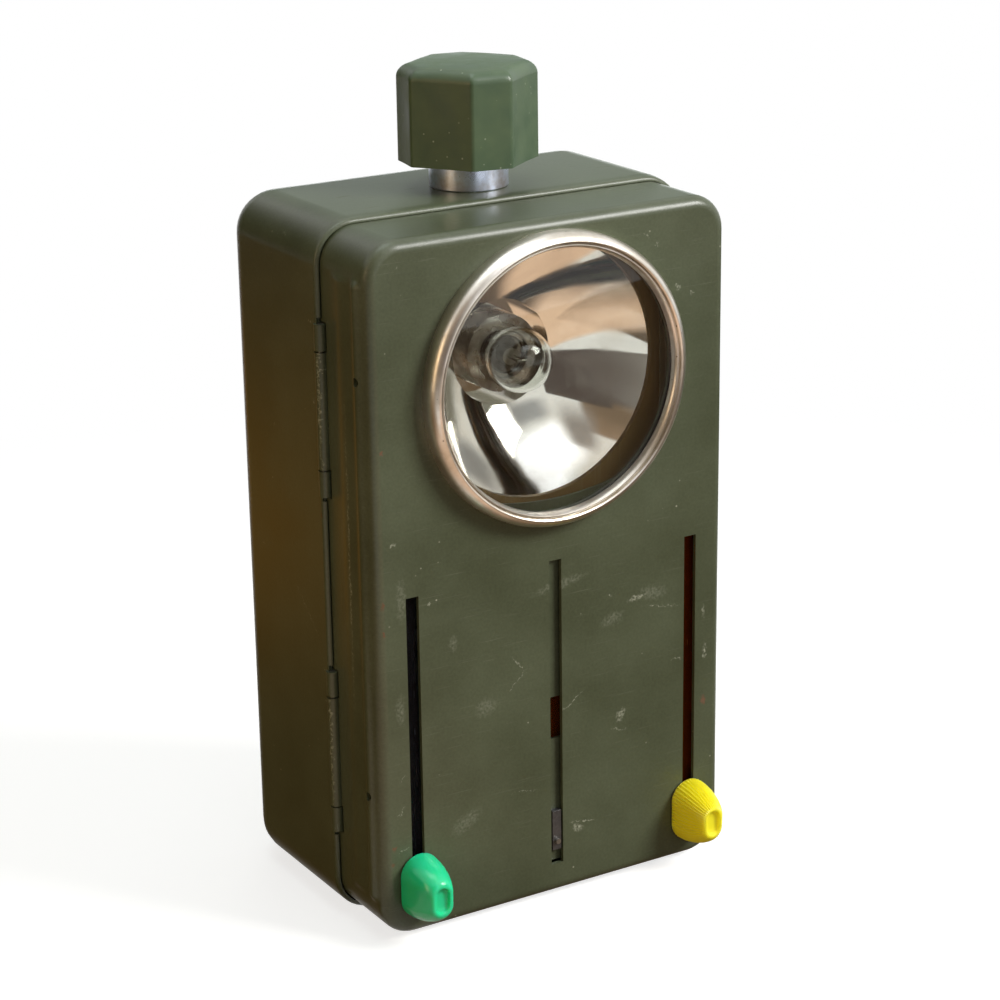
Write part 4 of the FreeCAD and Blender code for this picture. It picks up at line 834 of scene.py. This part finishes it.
class LAMP_OT_rear_case(bpy.types.Operator):
    """Model the rear case with its round back and hinge knuckles"""

    bl_idname = "lamp.rear_case"
    bl_label = "Rear case"

    def execute(self, context):
        sizes = context.scene.lamp_case
        low = Vector((-sizes.case_half, HINGE.y, CASE_LOW.z))
        high = Vector((sizes.case_half, CASE_HIGH.y, CASE_HIGH.z))
        bm = drawn_pan(low, high, sizes.case_corner, sizes.case_rim, CASE_HIGH.y)
        case = put_down(bm, "rear_case_shell", FINISHES["case_enamel"])
        give_wall(case, sizes.wall)
        roll_lip(case, sizes.lip_roll)
        up, back = Vector((0, 0, CUT_REACH)), Vector((0, CUT_REACH, 0))
        top = Vector((SWITCH_X, SWITCH_Y, CASE_HIGH.z))
        cuts = [bar(COLLAR_HOLE * MM, top - up, top + up, 64)]
        for height in CLIP_HEIGHTS:
            rivet = Vector((0, CASE_HIGH.y, height * MM))
            cuts.append(bar(CLIP_HOLE * MM, rivet - back, rivet + back, 24))
        hang_on_hinge(case, "case", "door", cuts)
        soften(case, sizes.case_edge)
        hand_over(case, "case", "olive_enamel", "rear_case")
        return {"FINISHED"}


def press_side_bands(bm, sizes):
    """Presses a raised band and a groove beside it into both sides of the front shell."""
    # Middle and half width of the band and of the groove, and how far each stands out.
    waves = ((-16.4 * MM, 4.0 * MM, sizes.band_lift), (RAIL_RIVET_Y * MM, 1.9 * MM, -sizes.band_dip))
    bottom = SHELL_LOW.z + sizes.shell_corner
    top = SHELL_HIGH.z - sizes.shell_corner + 0.6 * MM
    fade = 1.8 * MM
    side = sizes.shell_half - sizes.shell_rim - TINY
    # Rows of edges for the waves: close together across the groove, wider across the band.
    for first, pitch, count in ((-23.0, 0.325, 8), (-20.4, 0.57, 15)):
        for step in range(count):
            cut_across(bm, Y, (first + pitch * step) * MM)
    for share in (0.25, 0.5, 0.75, 1.0):
        cut_across(bm, Z, bottom + fade * share)
    for share in (0.25, 0.5, 0.75, 1.0):
        cut_across(bm, Z, top - fade * share)
    for vert in bm.verts:
        x, y, z = vert.co
        if abs(x) < side:
            continue
        ends = smooth_step(z, bottom, bottom + fade) * smooth_step(top - z, 0.0, fade)
        rise = sum(lift * (0.5 + 0.5 * math.cos(math.pi * (y - middle) / half))
                   for middle, half, lift in waves if abs(y - middle) < half)
        vert.co.x += math.copysign(rise * ends, x)


class LAMP_OT_front_shell(bpy.types.Operator):
    """Model the front shell with its lens hole, three slots, pressed side bands and hinge knuckles"""

    bl_idname = "lamp.front_shell"
    bl_label = "Front shell"

    def execute(self, context):
        sizes = context.scene.lamp_case
        low = Vector((-sizes.shell_half, FRONT, SHELL_LOW.z))
        high = Vector((sizes.shell_half, SHELL_HIGH.y, SHELL_HIGH.z))
        bm = drawn_pan(low, high, sizes.shell_corner, sizes.shell_rim, FRONT)
        press_side_bands(bm, sizes)
        shell = put_down(bm, "front_shell_pan", FINISHES["door_enamel"])
        give_wall(shell, sizes.wall)
        back = Vector((0, CUT_REACH, 0))
        cuts = [bar(LENS_HOLE * MM, LENS_CENTRE - back, LENS_CENTRE + back, 128)]
        for middle, top in SLOTS:
            cuts.append(block(((middle - SLOT_HALF) * MM, FRONT - MM, SLOT_FOOT * MM),
                              ((middle + SLOT_HALF) * MM, FRONT + CUT_REACH, top * MM)))
        for height in RAIL_RIVET_HEIGHTS:
            for side in (-1, 1):
                cuts.append(bar(RAIL_RIVET_HOLE * MM, (side * 34 * MM, RAIL_RIVET_Y * MM, height * MM),
                                (side * 37 * MM, RAIL_RIVET_Y * MM, height * MM), 20))
        hang_on_hinge(shell, "door", "case", cuts, block(KEEPER_LOW, KEEPER_HIGH))
        soften(shell, sizes.cut_edge)
        hand_over(shell, "door", "olive_enamel", "front_shell")
        return {"FINISHED"}


class LAMP_OT_lens_ring(bpy.types.Operator):
    """Turn the beaded ring that holds the glass"""

    bl_idname = "lamp.lens_ring"
    bl_label = "Lens ring"

    def execute(self, context):
        sizes = context.scene.lamp_lens
        edge = sizes.ring_radius / MM
        # Radius, and height in front of the case: outer wall, bead, groove, inner bead, cone, seat.
        profile = [
            (edge - 0.02, 0.0), (edge, 0.12), (edge, 1.1), (edge - 0.05, 1.9), (edge - 0.25, 2.6),
            (edge - 0.6, 3.15), (edge - 1.0, 3.55), (edge - 1.35, 3.74), (edge - 1.6, 3.78),
            (edge - 1.82, 3.62), (edge - 1.94, 3.1), (edge - 2.02, 3.05), (edge - 2.12, 3.3),
            (edge - 2.3, 3.32), (edge - 2.5, 3.1), (edge - 2.66, 2.75), (edge - 2.78, 2.35),
            (edge - 2.84, 2.0), (edge - 2.84, 1.92), (edge - 2.8, 1.9), (edge - 1.45, 1.9),
            (edge - 1.4, 1.85), (edge - 1.4, 0.05), (edge - 1.35, 0.0),
        ]
        section = [(radius * MM, -out * MM) for radius, out in profile]
        bm = turned(section, LENS_CENTRE, (0, 1, 0), sizes.steps)
        ring = put_down(bm, "lens_ring_turned", FINISHES["ring_metal"])
        hand_over(ring, "door", "bezel_metal", "bezel_ring")
        return {"FINISHED"}


# Glass: the height of its crown and its flat back before the case, the opening it domes in, and its rings.
GLASS_APEX = -3.1
GLASS_BACK = -0.5
GLASS_OPENING = 23.06
GLASS_RINGS = 24
# Reflector: the radii of its cup and of the bulb's hole, and the rings of its curve.
CUP_RADIUS = 9.0
BULB_HOLE = 6.65
BOWL_RINGS = 36


def bowl_curve(sizes, cup, lift):
    """The reflector's curve from its rim to its cup, as pairs of radius and depth."""
    rim, depth = sizes.bowl_radius, sizes.bowl_depth
    radii = [rim + (cup - rim) * step / BOWL_RINGS for step in range(BOWL_RINGS + 1)]
    return [(radius, depth + lift - depth * (radius / rim) ** 2) for radius in radii]


class LAMP_OT_lens(bpy.types.Operator):
    """Model the domed glass and the spun reflector"""

    bl_idname = "lamp.lens"
    bl_label = "Glass and reflector"

    def execute(self, context):
        sizes = context.scene.lamp_lens
        opening, back = GLASS_OPENING * MM, GLASS_BACK * MM
        dome = (opening ** 2 + sizes.dome_rise ** 2) / (2 * sizes.dome_rise)
        radii = [sizes.glass_radius * step / GLASS_RINGS for step in range(GLASS_RINGS + 1)]
        front = [(radius, GLASS_APEX * MM + dome - math.sqrt(dome ** 2 - radius ** 2)) for radius in radii]
        bm = turned([*front, (sizes.glass_radius, back), (0.0, back)], LENS_CENTRE, (0, 1, 0), sizes.steps)
        glass = put_down(bm, "domed_glass", FINISHES["lens_glass"])
        hand_over(glass, "door", "lens_glass", "lens_glass")

        low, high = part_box("reflector")
        rim_centre = Vector(((low.x + high.x) / 2, low.y, (low.z + high.z) / 2))
        wall, cup, hole, flange = sizes.bowl_wall, CUP_RADIUS * MM, BULB_HOLE * MM, (high.x - low.x) / 2
        floor = high.y - low.y - wall
        section = [*bowl_curve(sizes, cup, 0.0), (cup, floor), (hole, floor), (hole, floor + wall),
                   (cup + wall, floor + wall), *reversed(bowl_curve(sizes, cup + wall, wall)),
                   (flange, wall), (flange, 0.0)]
        bm = turned(section, rim_centre, (0, 1, 0), sizes.steps)
        bowl = put_down(bm, "spun_reflector", FINISHES["reflector_mirror"])
        hand_over(bowl, "door", "reflector_mirror", "reflector")
        return {"FINISHED"}


# The stem's bore in the knob: its radius and its depth, in mm.
STEM_BORE = 2.0
STEM_BORE_DEPTH = 13.3
EIGHTH_TURN = FULL_TURN / 8


class LAMP_OT_knob(bpy.types.Operator):
    """Model the eight-sided knob with its soft edges, hollow faces and domed top"""

    bl_idname = "lamp.knob"
    bl_label = "Knob"

    def execute(self, context):
        sizes = context.scene.lamp_knob
        reach = sizes.narrow / 2 + sizes.wide * math.sqrt(0.5)
        height = KNOB_HIGH.z - KNOB_LOW.z
        bm = block((-reach, -reach, 0), (reach, reach, height))
        round_edges(bm, [edge for edge in bm.edges if runs_along(edge, Z)], reach - sizes.narrow / 2, 1)
        round_edges(bm, [edge for edge in bm.edges if lies_at(edge, Z, height)], sizes.top_edge, 7)
        round_edges(bm, [edge for edge in bm.edges if runs_along(edge, Z)], sizes.side_edge, 3)
        rows = [edge for edge in bm.edges if edge.calc_length() > 2 * MM and not runs_along(edge, Z)]
        bmesh.ops.subdivide_edges(bm, edges=rows, cuts=7, use_grid_fill=True)
        top = [face for face in bm.faces if lies_at(face, Z, height)]
        for share in (0.8, 0.72, 0.6, 0.4):
            top = bmesh.ops.extrude_discrete_faces(bm, faces=top)["faces"]
            bmesh.ops.scale(bm, vec=(share, share, 1), verts=top[0].verts)
        for vert in bm.verts:
            x, y, z = vert.co
            far = math.hypot(x, y)
            sector = round(math.atan2(y, x) / EIGHTH_TURN)
            out = Vector((math.cos(sector * EIGHTH_TURN), math.sin(sector * EIGHTH_TURN)))
            beside = Vector((-out.y, out.x)).dot(Vector((x, y)))
            half = (sizes.wide if sector % 2 else sizes.narrow) / 2
            sink = sizes.hollow * (half / (sizes.wide / 2)) ** 2 * max(0.0, 1 - (beside / half) ** 2)
            sink *= smooth_step(far, reach - 3.2 * MM, reach - 1.2 * MM)
            vert.co.x -= out.x * sink
            vert.co.y -= out.y * sink
            vert.co.z -= sizes.crown * (far / reach) ** 2 * smooth_step(z, height - 3.5 * MM, height)
        turn = Matrix.Rotation(sizes.turned, 4, "Z")
        foot = Vector((SWITCH_X, SWITCH_Y, KNOB_LOW.z))
        bmesh.ops.transform(bm, matrix=Matrix.Translation(foot) @ turn, verts=bm.verts)
        knob = put_down(bm, "eight_sided_knob", FINISHES["olive_plastic"])
        up = Vector((0, 0, 1))
        carve(knob, "DIFFERENCE", bar(sizes.cavity, foot - up * MM, foot + up * sizes.cavity_depth, 64),
              bar(STEM_BORE * MM, foot - up * MM, foot + up * STEM_BORE_DEPTH * MM, 6))
        hand_over(knob, "knob_push", "olive_plastic", "top_knob")
        self.wind_spring()
        return {"FINISHED"}

    def wind_spring(self):
        """A copy of the return spring, put on the switch's rotor with a mesh of its own."""
        spring = put_down(copied("return_spring"), "return_spring_wound", FINISHES["plain_steel"])
        hand_over(spring, "switch_rotor", "plain_steel", "return_spring")
        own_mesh(spring)


def stadium_point(share, width, tall):
    """A point at a share of the way round an upright slot shape, and the direction out of it there."""
    radius = width / 2
    straight = tall - width
    arc = math.pi * radius
    total = 2 * straight + 2 * arc
    travel = (share % 1.0) * total
    if travel < straight:
        return Vector((radius, 0, travel - straight / 2)), Vector((1, 0, 0))
    travel -= straight
    if travel < arc:
        out = Vector((math.cos(travel / radius), 0, math.sin(travel / radius)))
        return Vector((0, 0, straight / 2)) + out * radius, out
    travel -= arc
    if travel < straight:
        return Vector((-radius, 0, straight / 2 - travel)), Vector((-1, 0, 0))
    travel -= straight
    out = Vector((-math.cos(travel / radius), 0, -math.sin(travel / radius)))
    return Vector((0, 0, -straight / 2)) + out * radius, out


def stadium_stack(rings, count, flutes, flute_depth):
    """A bmesh button of slot-shaped rings, each a height forward, width, length and share of the flutes."""
    bm = bmesh.new()
    bmesh.ops.create_circle(bm, cap_ends=True, segments=count, radius=1.0)
    around = bm.verts.layers.float.new("around")
    for vert in bm.verts:
        vert[around] = math.atan2(vert.co.y, vert.co.x) / FULL_TURN
    cap = bm.faces[:]
    for index, (forward, width, tall, depth) in enumerate(rings):
        if index:
            grown = bmesh.ops.extrude_face_region(bm, geom=cap)["geom"]
            bmesh.ops.delete(bm, geom=cap, context="FACES_ONLY")
            cap = [item for item in grown if isinstance(item, bmesh.types.BMFace)]
            ring = [item for item in grown if isinstance(item, bmesh.types.BMVert)]
        else:
            ring = bm.verts[:]
        around = bm.verts.layers.float["around"]
        for vert in ring:
            point, out = stadium_point(vert[around], width * MM, tall * MM)
            ripple = -0.5 * flute_depth * depth * (1 + math.cos(FULL_TURN * flutes * vert[around]))
            vert.co = point + out * ripple + Vector((0, -forward * MM, 0))
    rim = [edge for edge in bm.edges if edge.is_boundary]
    bmesh.ops.contextual_create(bm, geom=rim)
    bmesh.ops.recalc_face_normals(bm, faces=bm.faces)
    return bm


class LAMP_OT_buttons(bpy.types.Operator):
    """Model the smooth green button and the fluted yellow one"""

    bl_idname = "lamp.buttons"
    bl_label = "Slide buttons"

    def execute(self, context):
        sizes = context.scene.lamp_buttons
        wide, tall = sizes.width / MM, sizes.tall / MM
        # Height forward, width, length and share of the flutes, from the foot to the dimple in the tip.
        shape = [
            (0.0, wide - 0.2, tall - 0.2, 0.0), (0.12, wide, tall, 0.6), (1.6, wide - 0.12, tall - 0.2, 1.0),
            (3.0, wide - 0.42, tall - 0.7, 1.0), (4.4, wide - 0.95, tall - 1.5, 1.0),
            (5.6, wide - 1.6, tall - 2.5, 1.0), (6.6, wide - 2.3, tall - 3.6, 1.0),
            (7.3, wide - 2.95, tall - 4.6, 0.9), (7.75, wide - 3.55, tall - 5.4, 0.6),
            (7.95, wide - 4.1, tall - 6.1, 0.3), (8.0, wide - 4.55, tall - 6.7, 0.0),
            (7.94, wide - 4.9, tall - 7.1, 0.0), (7.7, wide - 5.15, tall - 7.4, 0.0),
            (7.35, wide - 5.4, tall - 7.75, 0.0), (7.22, wide - 5.9, tall - 8.4, 0.0),
            (7.2, wide - 6.6, tall - 9.4, 0.0),
        ]
        for node, body, slot, count, flutes in (
            ("green_button", "green_slide", "green_plastic", 96, 0),
            ("amber_button", "amber_slide", "yellow_plastic", sizes.flutes * 6, sizes.flutes),
        ):
            low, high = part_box(node)
            depth = sizes.flute_depth if flutes else 0.0
            bm = stadium_stack(shape, count, flutes, depth)
            middle = Vector(((low.x + high.x) / 2, high.y, (low.z + high.z) / 2))
            bmesh.ops.translate(bm, vec=middle, verts=bm.verts)
            button = put_down(bm, f"{node}_moulded", FINISHES[slot])
            hand_over(button, body, slot, node)
        return {"FINISHED"}


class LAMP_OT_collar(bpy.types.Operator):
    """Turn the collar that the knob's shaft comes up through"""

    bl_idname = "lamp.collar"
    bl_label = "Switch collar"

    def execute(self, context):
        wall, bore, thread = 7.0, 3.6, 5.4
        section = [
            (wall - 0.15, 0.0), (wall, 0.2), (wall, 5.5), (wall - 0.12, 5.95), (wall - 0.45, 6.2),
            (bore + 0.2, 6.2), (bore, 6.0), (bore, -7.3), (bore + 0.2, -7.5), (thread - 0.3, -7.5),
            (thread, -7.2), (thread, 0.0),
        ]
        centre = Vector((SWITCH_X, SWITCH_Y, CASE_HIGH.z))
        bm = turned([(radius * MM, up * MM) for radius, up in section], centre, (0, 0, 1), 96)
        collar = put_down(bm, "switch_collar_turned", FINISHES["bezel_metal"])
        hand_over(collar, "case", "bezel_metal", "switch_bushing")
        return {"FINISHED"}


class LAMP_OT_sheet_metal(bpy.types.Operator):
    """Soften the edges of the belt clip, its rivets, the latch, the shutter's stub and the battery"""

    bl_idname = "lamp.sheet_metal"
    bl_label = "Clip, latch, stub and battery"

    def execute(self, context):
        # Node, body, slot, the piece's own finish where it has one, and the width of its soft edge in mm.
        rows = (
            ("belt_clip", "case", "olive_enamel", None, 0.22),
            ("latch_bracket", "case", "olive_enamel", None, 0.12),
            ("latch_arm", "latch", "plain_steel", None, 0.12),
            ("clip_rivet_lower", "case", "plain_steel", None, 0.3),
            ("clip_rivet_upper", "case", "plain_steel", None, 0.3),
            ("shutter_stub", "shutter_slide", "plain_steel", "shutter_steel", 0.12),
            ("battery", "case", "battery_jacket", None, 0.3),
        )
        for node, body, slot, finish, width in rows:
            piece = put_down(copied(node), f"{node}_softened", FINISHES[finish or slot])
            soften(piece, width * MM, 3)
            hand_over(piece, body, slot, node)
        return {"FINISHED"}


def empty_tree(owner):
    """A material's or a world's node tree with nothing in it."""
    owner.use_nodes = True
    owner.node_tree.nodes.clear()
    return owner.node_tree


def seen_rays(tree):
    """1 for a ray from the camera, off gloss or through glass, and 0 for the light that falls on things."""
    rays = add(tree, "ShaderNodeLightPath").outputs
    seen = rays["Is Camera Ray"]
    for kind in ("Is Glossy Ray", "Is Transmission Ray"):
        seen = add(tree, "ShaderNodeMath", {0: seen, 1: rays[kind]}, operation="MAXIMUM").outputs[0]
    return seen


WHITE = (1, 1, 1, 1)
# Where the camera, the lights and the cards that show in the lens point, in metres.
LOOK_AT = Vector((4.10 * MM, 0.0, 68.53 * MM))
LIGHT_AIM = Vector((0.0, 0.0, 0.07))
LENS_AIM = (0.0, -0.025, 0.098)
FLAT = None
# Cards: name, centre, the point each faces or flat, width, length, colour, strength and soft share of width.
CARDS = (
    ("umber_board_right", (0.31, -0.335, 0.0005), FLAT, 0.70, 0.66, "#6a5642", 1.0, 0.03),
    ("brown_board_left", (-0.47, 0.28, 0.001), FLAT, 0.88, 0.84, "#523a18", 1.0, 0.01),
    ("orange_board_back", (-0.11, 0.27, 0.002), FLAT, 0.14, 0.44, "#b87a20", 1.0, 0.35),
    ("olive_board_right", (0.56, 0.14, 0.001), FLAT, 0.80, 0.50, "#3c4034", 1.0, 0.1),
    ("brown_card_left", (-0.80, 0.42, 0.26), (0.0, 0.0, 0.07), 1.10, 0.52, "#3c3222", 1.0, 0.1),
    ("olive_card_back", (-0.44, 0.62, 0.24), (-0.44, 0.0, 0.24), 0.84, 0.48, "#3b3f33", 1.0, 0.1),
    ("sage_card_back", (0.36, 0.60, 0.36), (0.0, 0.0, 0.12), 0.80, 0.50, "#a3aca4", 1.0, 0.2),
    ("tan_board_front", (-0.06, -0.24, 0.001), FLAT, 0.18, 0.44, "#ffd9bb", 1.0, 0.2),
    ("tan_board_left", (-0.11, -0.085, 0.002), FLAT, 0.16, 0.18, "#ffd9bb", 1.0, 0.4),
    ("plum_card_left", (-0.297, -0.322, 0.166), (0.0, -0.025, 0.166), 0.62, 0.33, "#5a5250", 1.0, 0.03),
    ("rose_card_left", (-0.348, -0.26, 0.435), (0.0, -0.025, 0.435), 0.42, 0.32, "#8a7765", 1.0, 0.12),
    ("grey_card_left", (-0.187, -0.40, 0.57), (0.0, -0.025, 0.57), 0.28, 0.60, "#9a9898", 1.0, 0.4),
    ("stone_card_right", (0.85, -0.87, 0.42), LENS_AIM, 1.20, 0.80, "#8a8a80", 1.0, 0.25),
    ("grey_card_front", (0.188, -0.728, 0.60), LENS_AIM, 0.80, 0.30, "#a8aaae", 1.0, 0.35),
    ("window_card", (0.13, -0.383, 0.685), LENS_AIM, 0.74, 0.37, "#f4f6ff", 2.2, 0.25),
)


class LAMP_OT_stage(bpy.types.Operator):
    """Set the camera, the floor, the cards and the lights"""

    bl_idname = "lamp.stage"
    bl_label = "Stage"

    def execute(self, context):
        stage = context.scene.lamp_stage
        self.set_camera(context, stage)
        self.lay_floor(context)
        self.hang_cards(context)
        self.set_lights(context, stage)
        self.set_world(context, stage)
        context.scene.view_settings.view_transform = "Standard"
        return {"FINISHED"}

    def set_camera(self, context, stage):
        """A camera at the set turn, height, roll and distance from the point it looks at."""
        a, e, r = stage.azimuth, stage.elevation, stage.roll
        away = Vector((math.sin(a) * math.cos(e), -math.cos(a) * math.cos(e), math.sin(e)))
        right = (-away).cross(Vector((0, 0, 1))).normalized()
        up = right.cross(-away)
        rolled_right = right * math.cos(r) + up * math.sin(r)
        rolled_up = up * math.cos(r) - right * math.sin(r)
        data = bpy.data.cameras.new("viewpoint")
        data.sensor_width = 36.0
        data.lens = stage.focal
        data.clip_start = 0.01
        camera = bpy.data.objects.new("viewpoint", data)
        context.scene.collection.objects.link(camera)
        facing = Matrix((rolled_right, rolled_up, away)).transposed().to_4x4()
        camera.matrix_world = Matrix.Translation(LOOK_AT + away * stage.distance) @ facing
        context.scene.camera = camera

    def lay_floor(self, context):
        """White paper that keeps the lamp's shadow and fades to plain white further out."""
        material = bpy.data.materials.new("white_paper_floor")
        tree = empty_tree(material)
        spot = add(tree, "ShaderNodeTexCoord").outputs["Object"]
        away = add(tree, "ShaderNodeVectorMath", {0: spot}, operation="LENGTH").outputs["Value"]
        far = add(tree, "ShaderNodeMapRange", {"Value": away, "From Min": 0.10, "From Max": 0.30},
                  interpolation_type="SMOOTHSTEP").outputs[0]
        paper = add(tree, "ShaderNodeBsdfDiffuse", {"Color": linear("#c4c4c2")}).outputs[0]
        lift = add(tree, "ShaderNodeEmission", {"Color": WHITE, "Strength": 0.72}).outputs[0]
        near = add(tree, "ShaderNodeAddShader", {0: paper, 1: lift}).outputs[0]
        white = add(tree, "ShaderNodeEmission", {"Color": WHITE, "Strength": 1.0}).outputs[0]
        shown = add(tree, "ShaderNodeMixShader", {0: far, 1: near, 2: white}).outputs[0]
        bounce = add(tree, "ShaderNodeBsdfDiffuse", {"Color": linear("#7d6a50")}).outputs[0]
        mixed = add(tree, "ShaderNodeMixShader", {0: seen_rays(tree), 1: bounce, 2: shown}).outputs[0]
        add(tree, "ShaderNodeOutputMaterial", {"Surface": mixed})
        bm = bmesh.new()
        bmesh.ops.create_circle(bm, cap_ends=True, segments=96, radius=3.0)
        floor = put_down(bm, "floor", material)

    def hang_cards(self, context):
        """Coloured cards that only show in gloss and glass."""
        for name, centre, target, width, tall, code, strength, soft in CARDS:
            bm = bmesh.new()
            bm.loops.layers.uv.new("card")
            bmesh.ops.create_grid(bm, x_segments=1, y_segments=1, size=0.5, calc_uvs=True)
            bmesh.ops.scale(bm, vec=(width, tall, 1), verts=bm.verts)
            way = Vector(target) - Vector(centre) if target else Vector((0, 0, 1))
            facing = way.to_track_quat("Z", "Y").to_matrix().to_4x4()
            bmesh.ops.transform(bm, matrix=Matrix.Translation(centre) @ facing, verts=bm.verts)
            card = put_down(bm, name, self.card_paint(name, code, strength, soft))
            card.visible_camera = False
            card.visible_diffuse = False
            card.visible_shadow = False

    def card_paint(self, name, code, strength, soft):
        """A card's colour, which fades out over a share of its width along the edges."""
        material = bpy.data.materials.new(name)
        tree = empty_tree(material)
        place = add(tree, "ShaderNodeUVMap", uv_map="card").outputs[0]
        middle = add(tree, "ShaderNodeVectorMath", {0: place, 1: (0.5, 0.5, 0.5)},
                     operation="SUBTRACT").outputs[0]
        off = add(tree, "ShaderNodeVectorMath", {0: middle}, operation="ABSOLUTE").outputs[0]
        sides = add(tree, "ShaderNodeSeparateXYZ", {0: off}).outputs
        shares = [add(tree, "ShaderNodeMapRange", {"Value": sides[axis], "From Min": 0.5,
                                                   "From Max": 0.5 - soft},
                      interpolation_type="SMOOTHSTEP").outputs[0] for axis in (0, 1)]
        share = add(tree, "ShaderNodeMath", {0: shares[0], 1: shares[1]}, operation="MULTIPLY").outputs[0]
        glow = add(tree, "ShaderNodeEmission", {"Color": linear(code), "Strength": strength}).outputs[0]
        clear = add(tree, "ShaderNodeBsdfTransparent").outputs[0]
        shown = add(tree, "ShaderNodeMixShader", {0: share, 1: clear, 2: glow}).outputs[0]
        add(tree, "ShaderNodeOutputMaterial", {"Surface": shown})
        return material

    def set_lights(self, context, stage):
        """Four square soft lamps: name, centre, power, width and tint."""
        rows = (
            ("key_light", (0.56, -0.62, 0.62), stage.key_power, 0.36, (1.0, 0.985, 0.96)),
            ("top_light", (-0.05, 0.05, 0.95), stage.top_power, 0.50, (0.86, 0.98, 1.0)),
            ("warm_fill", (-0.85, -0.22, 0.28), stage.fill_power, 0.50, (1.0, 0.64, 0.24)),
            ("back_light", (0.55, 0.78, 0.32), stage.back_power, 0.60, (0.94, 1.0, 1.0)),
        )
        for name, centre, power, width, tint in rows:
            data = bpy.data.lights.new(name, "AREA")
            data.shape = "SQUARE"
            data.size = width
            data.energy = power
            data.color = tint
            lamp = bpy.data.objects.new(name, data)
            context.scene.collection.objects.link(lamp)
            lamp.location = centre
            lamp.rotation_euler = (LIGHT_AIM - Vector(centre)).to_track_quat("-Z", "Y").to_euler()

    def set_world(self, context, stage):
        """White where it is seen; as light, pale from the front right and dark brown from the back left."""
        world = bpy.data.worlds.new("studio")
        tree = empty_tree(world)
        way = add(tree, "ShaderNodeTexCoord").outputs["Generated"]
        across = add(tree, "ShaderNodeVectorMath", {0: way, 1: (0.42, -0.85, -0.30)},
                     operation="DOT_PRODUCT").outputs["Value"]
        side = add(tree, "ShaderNodeMapRange", {"Value": across, "From Min": -0.5, "From Max": 0.6},
                   interpolation_type="SMOOTHSTEP").outputs[0]
        tint = add(tree, "ShaderNodeMix", {MIX_FACTOR: side, MIX_FIRST: linear("#32260f"),
                                           MIX_SECOND: linear("#fbfcff")},
                   data_type="RGBA").outputs[MIX_RESULT]
        even = add(tree, "ShaderNodeBackground", {"Color": tint, "Strength": stage.ambient}).outputs[0]
        white = add(tree, "ShaderNodeBackground", {"Color": WHITE, "Strength": 1.0}).outputs[0]
        mixed = add(tree, "ShaderNodeMixShader", {0: seen_rays(tree), 1: even, 2: white}).outputs[0]
        add(tree, "ShaderNodeOutputWorld", {"Surface": mixed})
        context.scene.world = world


class LAMP_PT_panel(bpy.types.Panel):
    """Sizes, colours and steps of the signal lamp"""

    bl_idname = "LAMP_PT_panel"
    bl_label = "Signal Lamp"
    bl_space_type = "VIEW_3D"
    bl_region_type = "UI"
    bl_category = "Signal Lamp"

    def draw(self, context):
        layout = self.layout
        for name in GROUPS:
            group = getattr(context.scene, name)
            box = layout.box()
            box.label(text=group.bl_rna.name)
            for prop in group.bl_rna.properties:
                if prop.identifier not in ("rna_type", "name"):
                    box.prop(group, prop.identifier)
        for step in STEPS:
            layout.operator(step.bl_idname)


GROUPS = {
    "lamp_case": CaseSizes,
    "lamp_lens": LensSizes,
    "lamp_knob": KnobSizes,
    "lamp_buttons": ButtonSizes,
    "lamp_colours": FinishColours,
    "lamp_stage": StageSettings,
}
STEPS = (
    LAMP_OT_stage, LAMP_OT_finishes, LAMP_OT_rear_case, LAMP_OT_front_shell, LAMP_OT_lens_ring, LAMP_OT_lens,
    LAMP_OT_knob, LAMP_OT_buttons, LAMP_OT_collar, LAMP_OT_sheet_metal,
)


def register():
    for group in GROUPS.values():
        bpy.utils.register_class(group)
    for step in (*STEPS, LAMP_PT_panel):
        bpy.utils.register_class(step)
    for name, group in GROUPS.items():
        setattr(bpy.types.Scene, name, PointerProperty(type=group))


def unregister():
    for name in GROUPS:
        delattr(bpy.types.Scene, name)
    for step in (LAMP_PT_panel, *reversed(STEPS)):
        bpy.utils.unregister_class(step)
    for group in reversed(GROUPS.values()):
        bpy.utils.unregister_class(group)


def main():
    register()
    for step in STEPS:
        area, word = step.bl_idname.split(".")
        getattr(getattr(bpy.ops, area), word)()


if __name__ == "__main__":
    main()
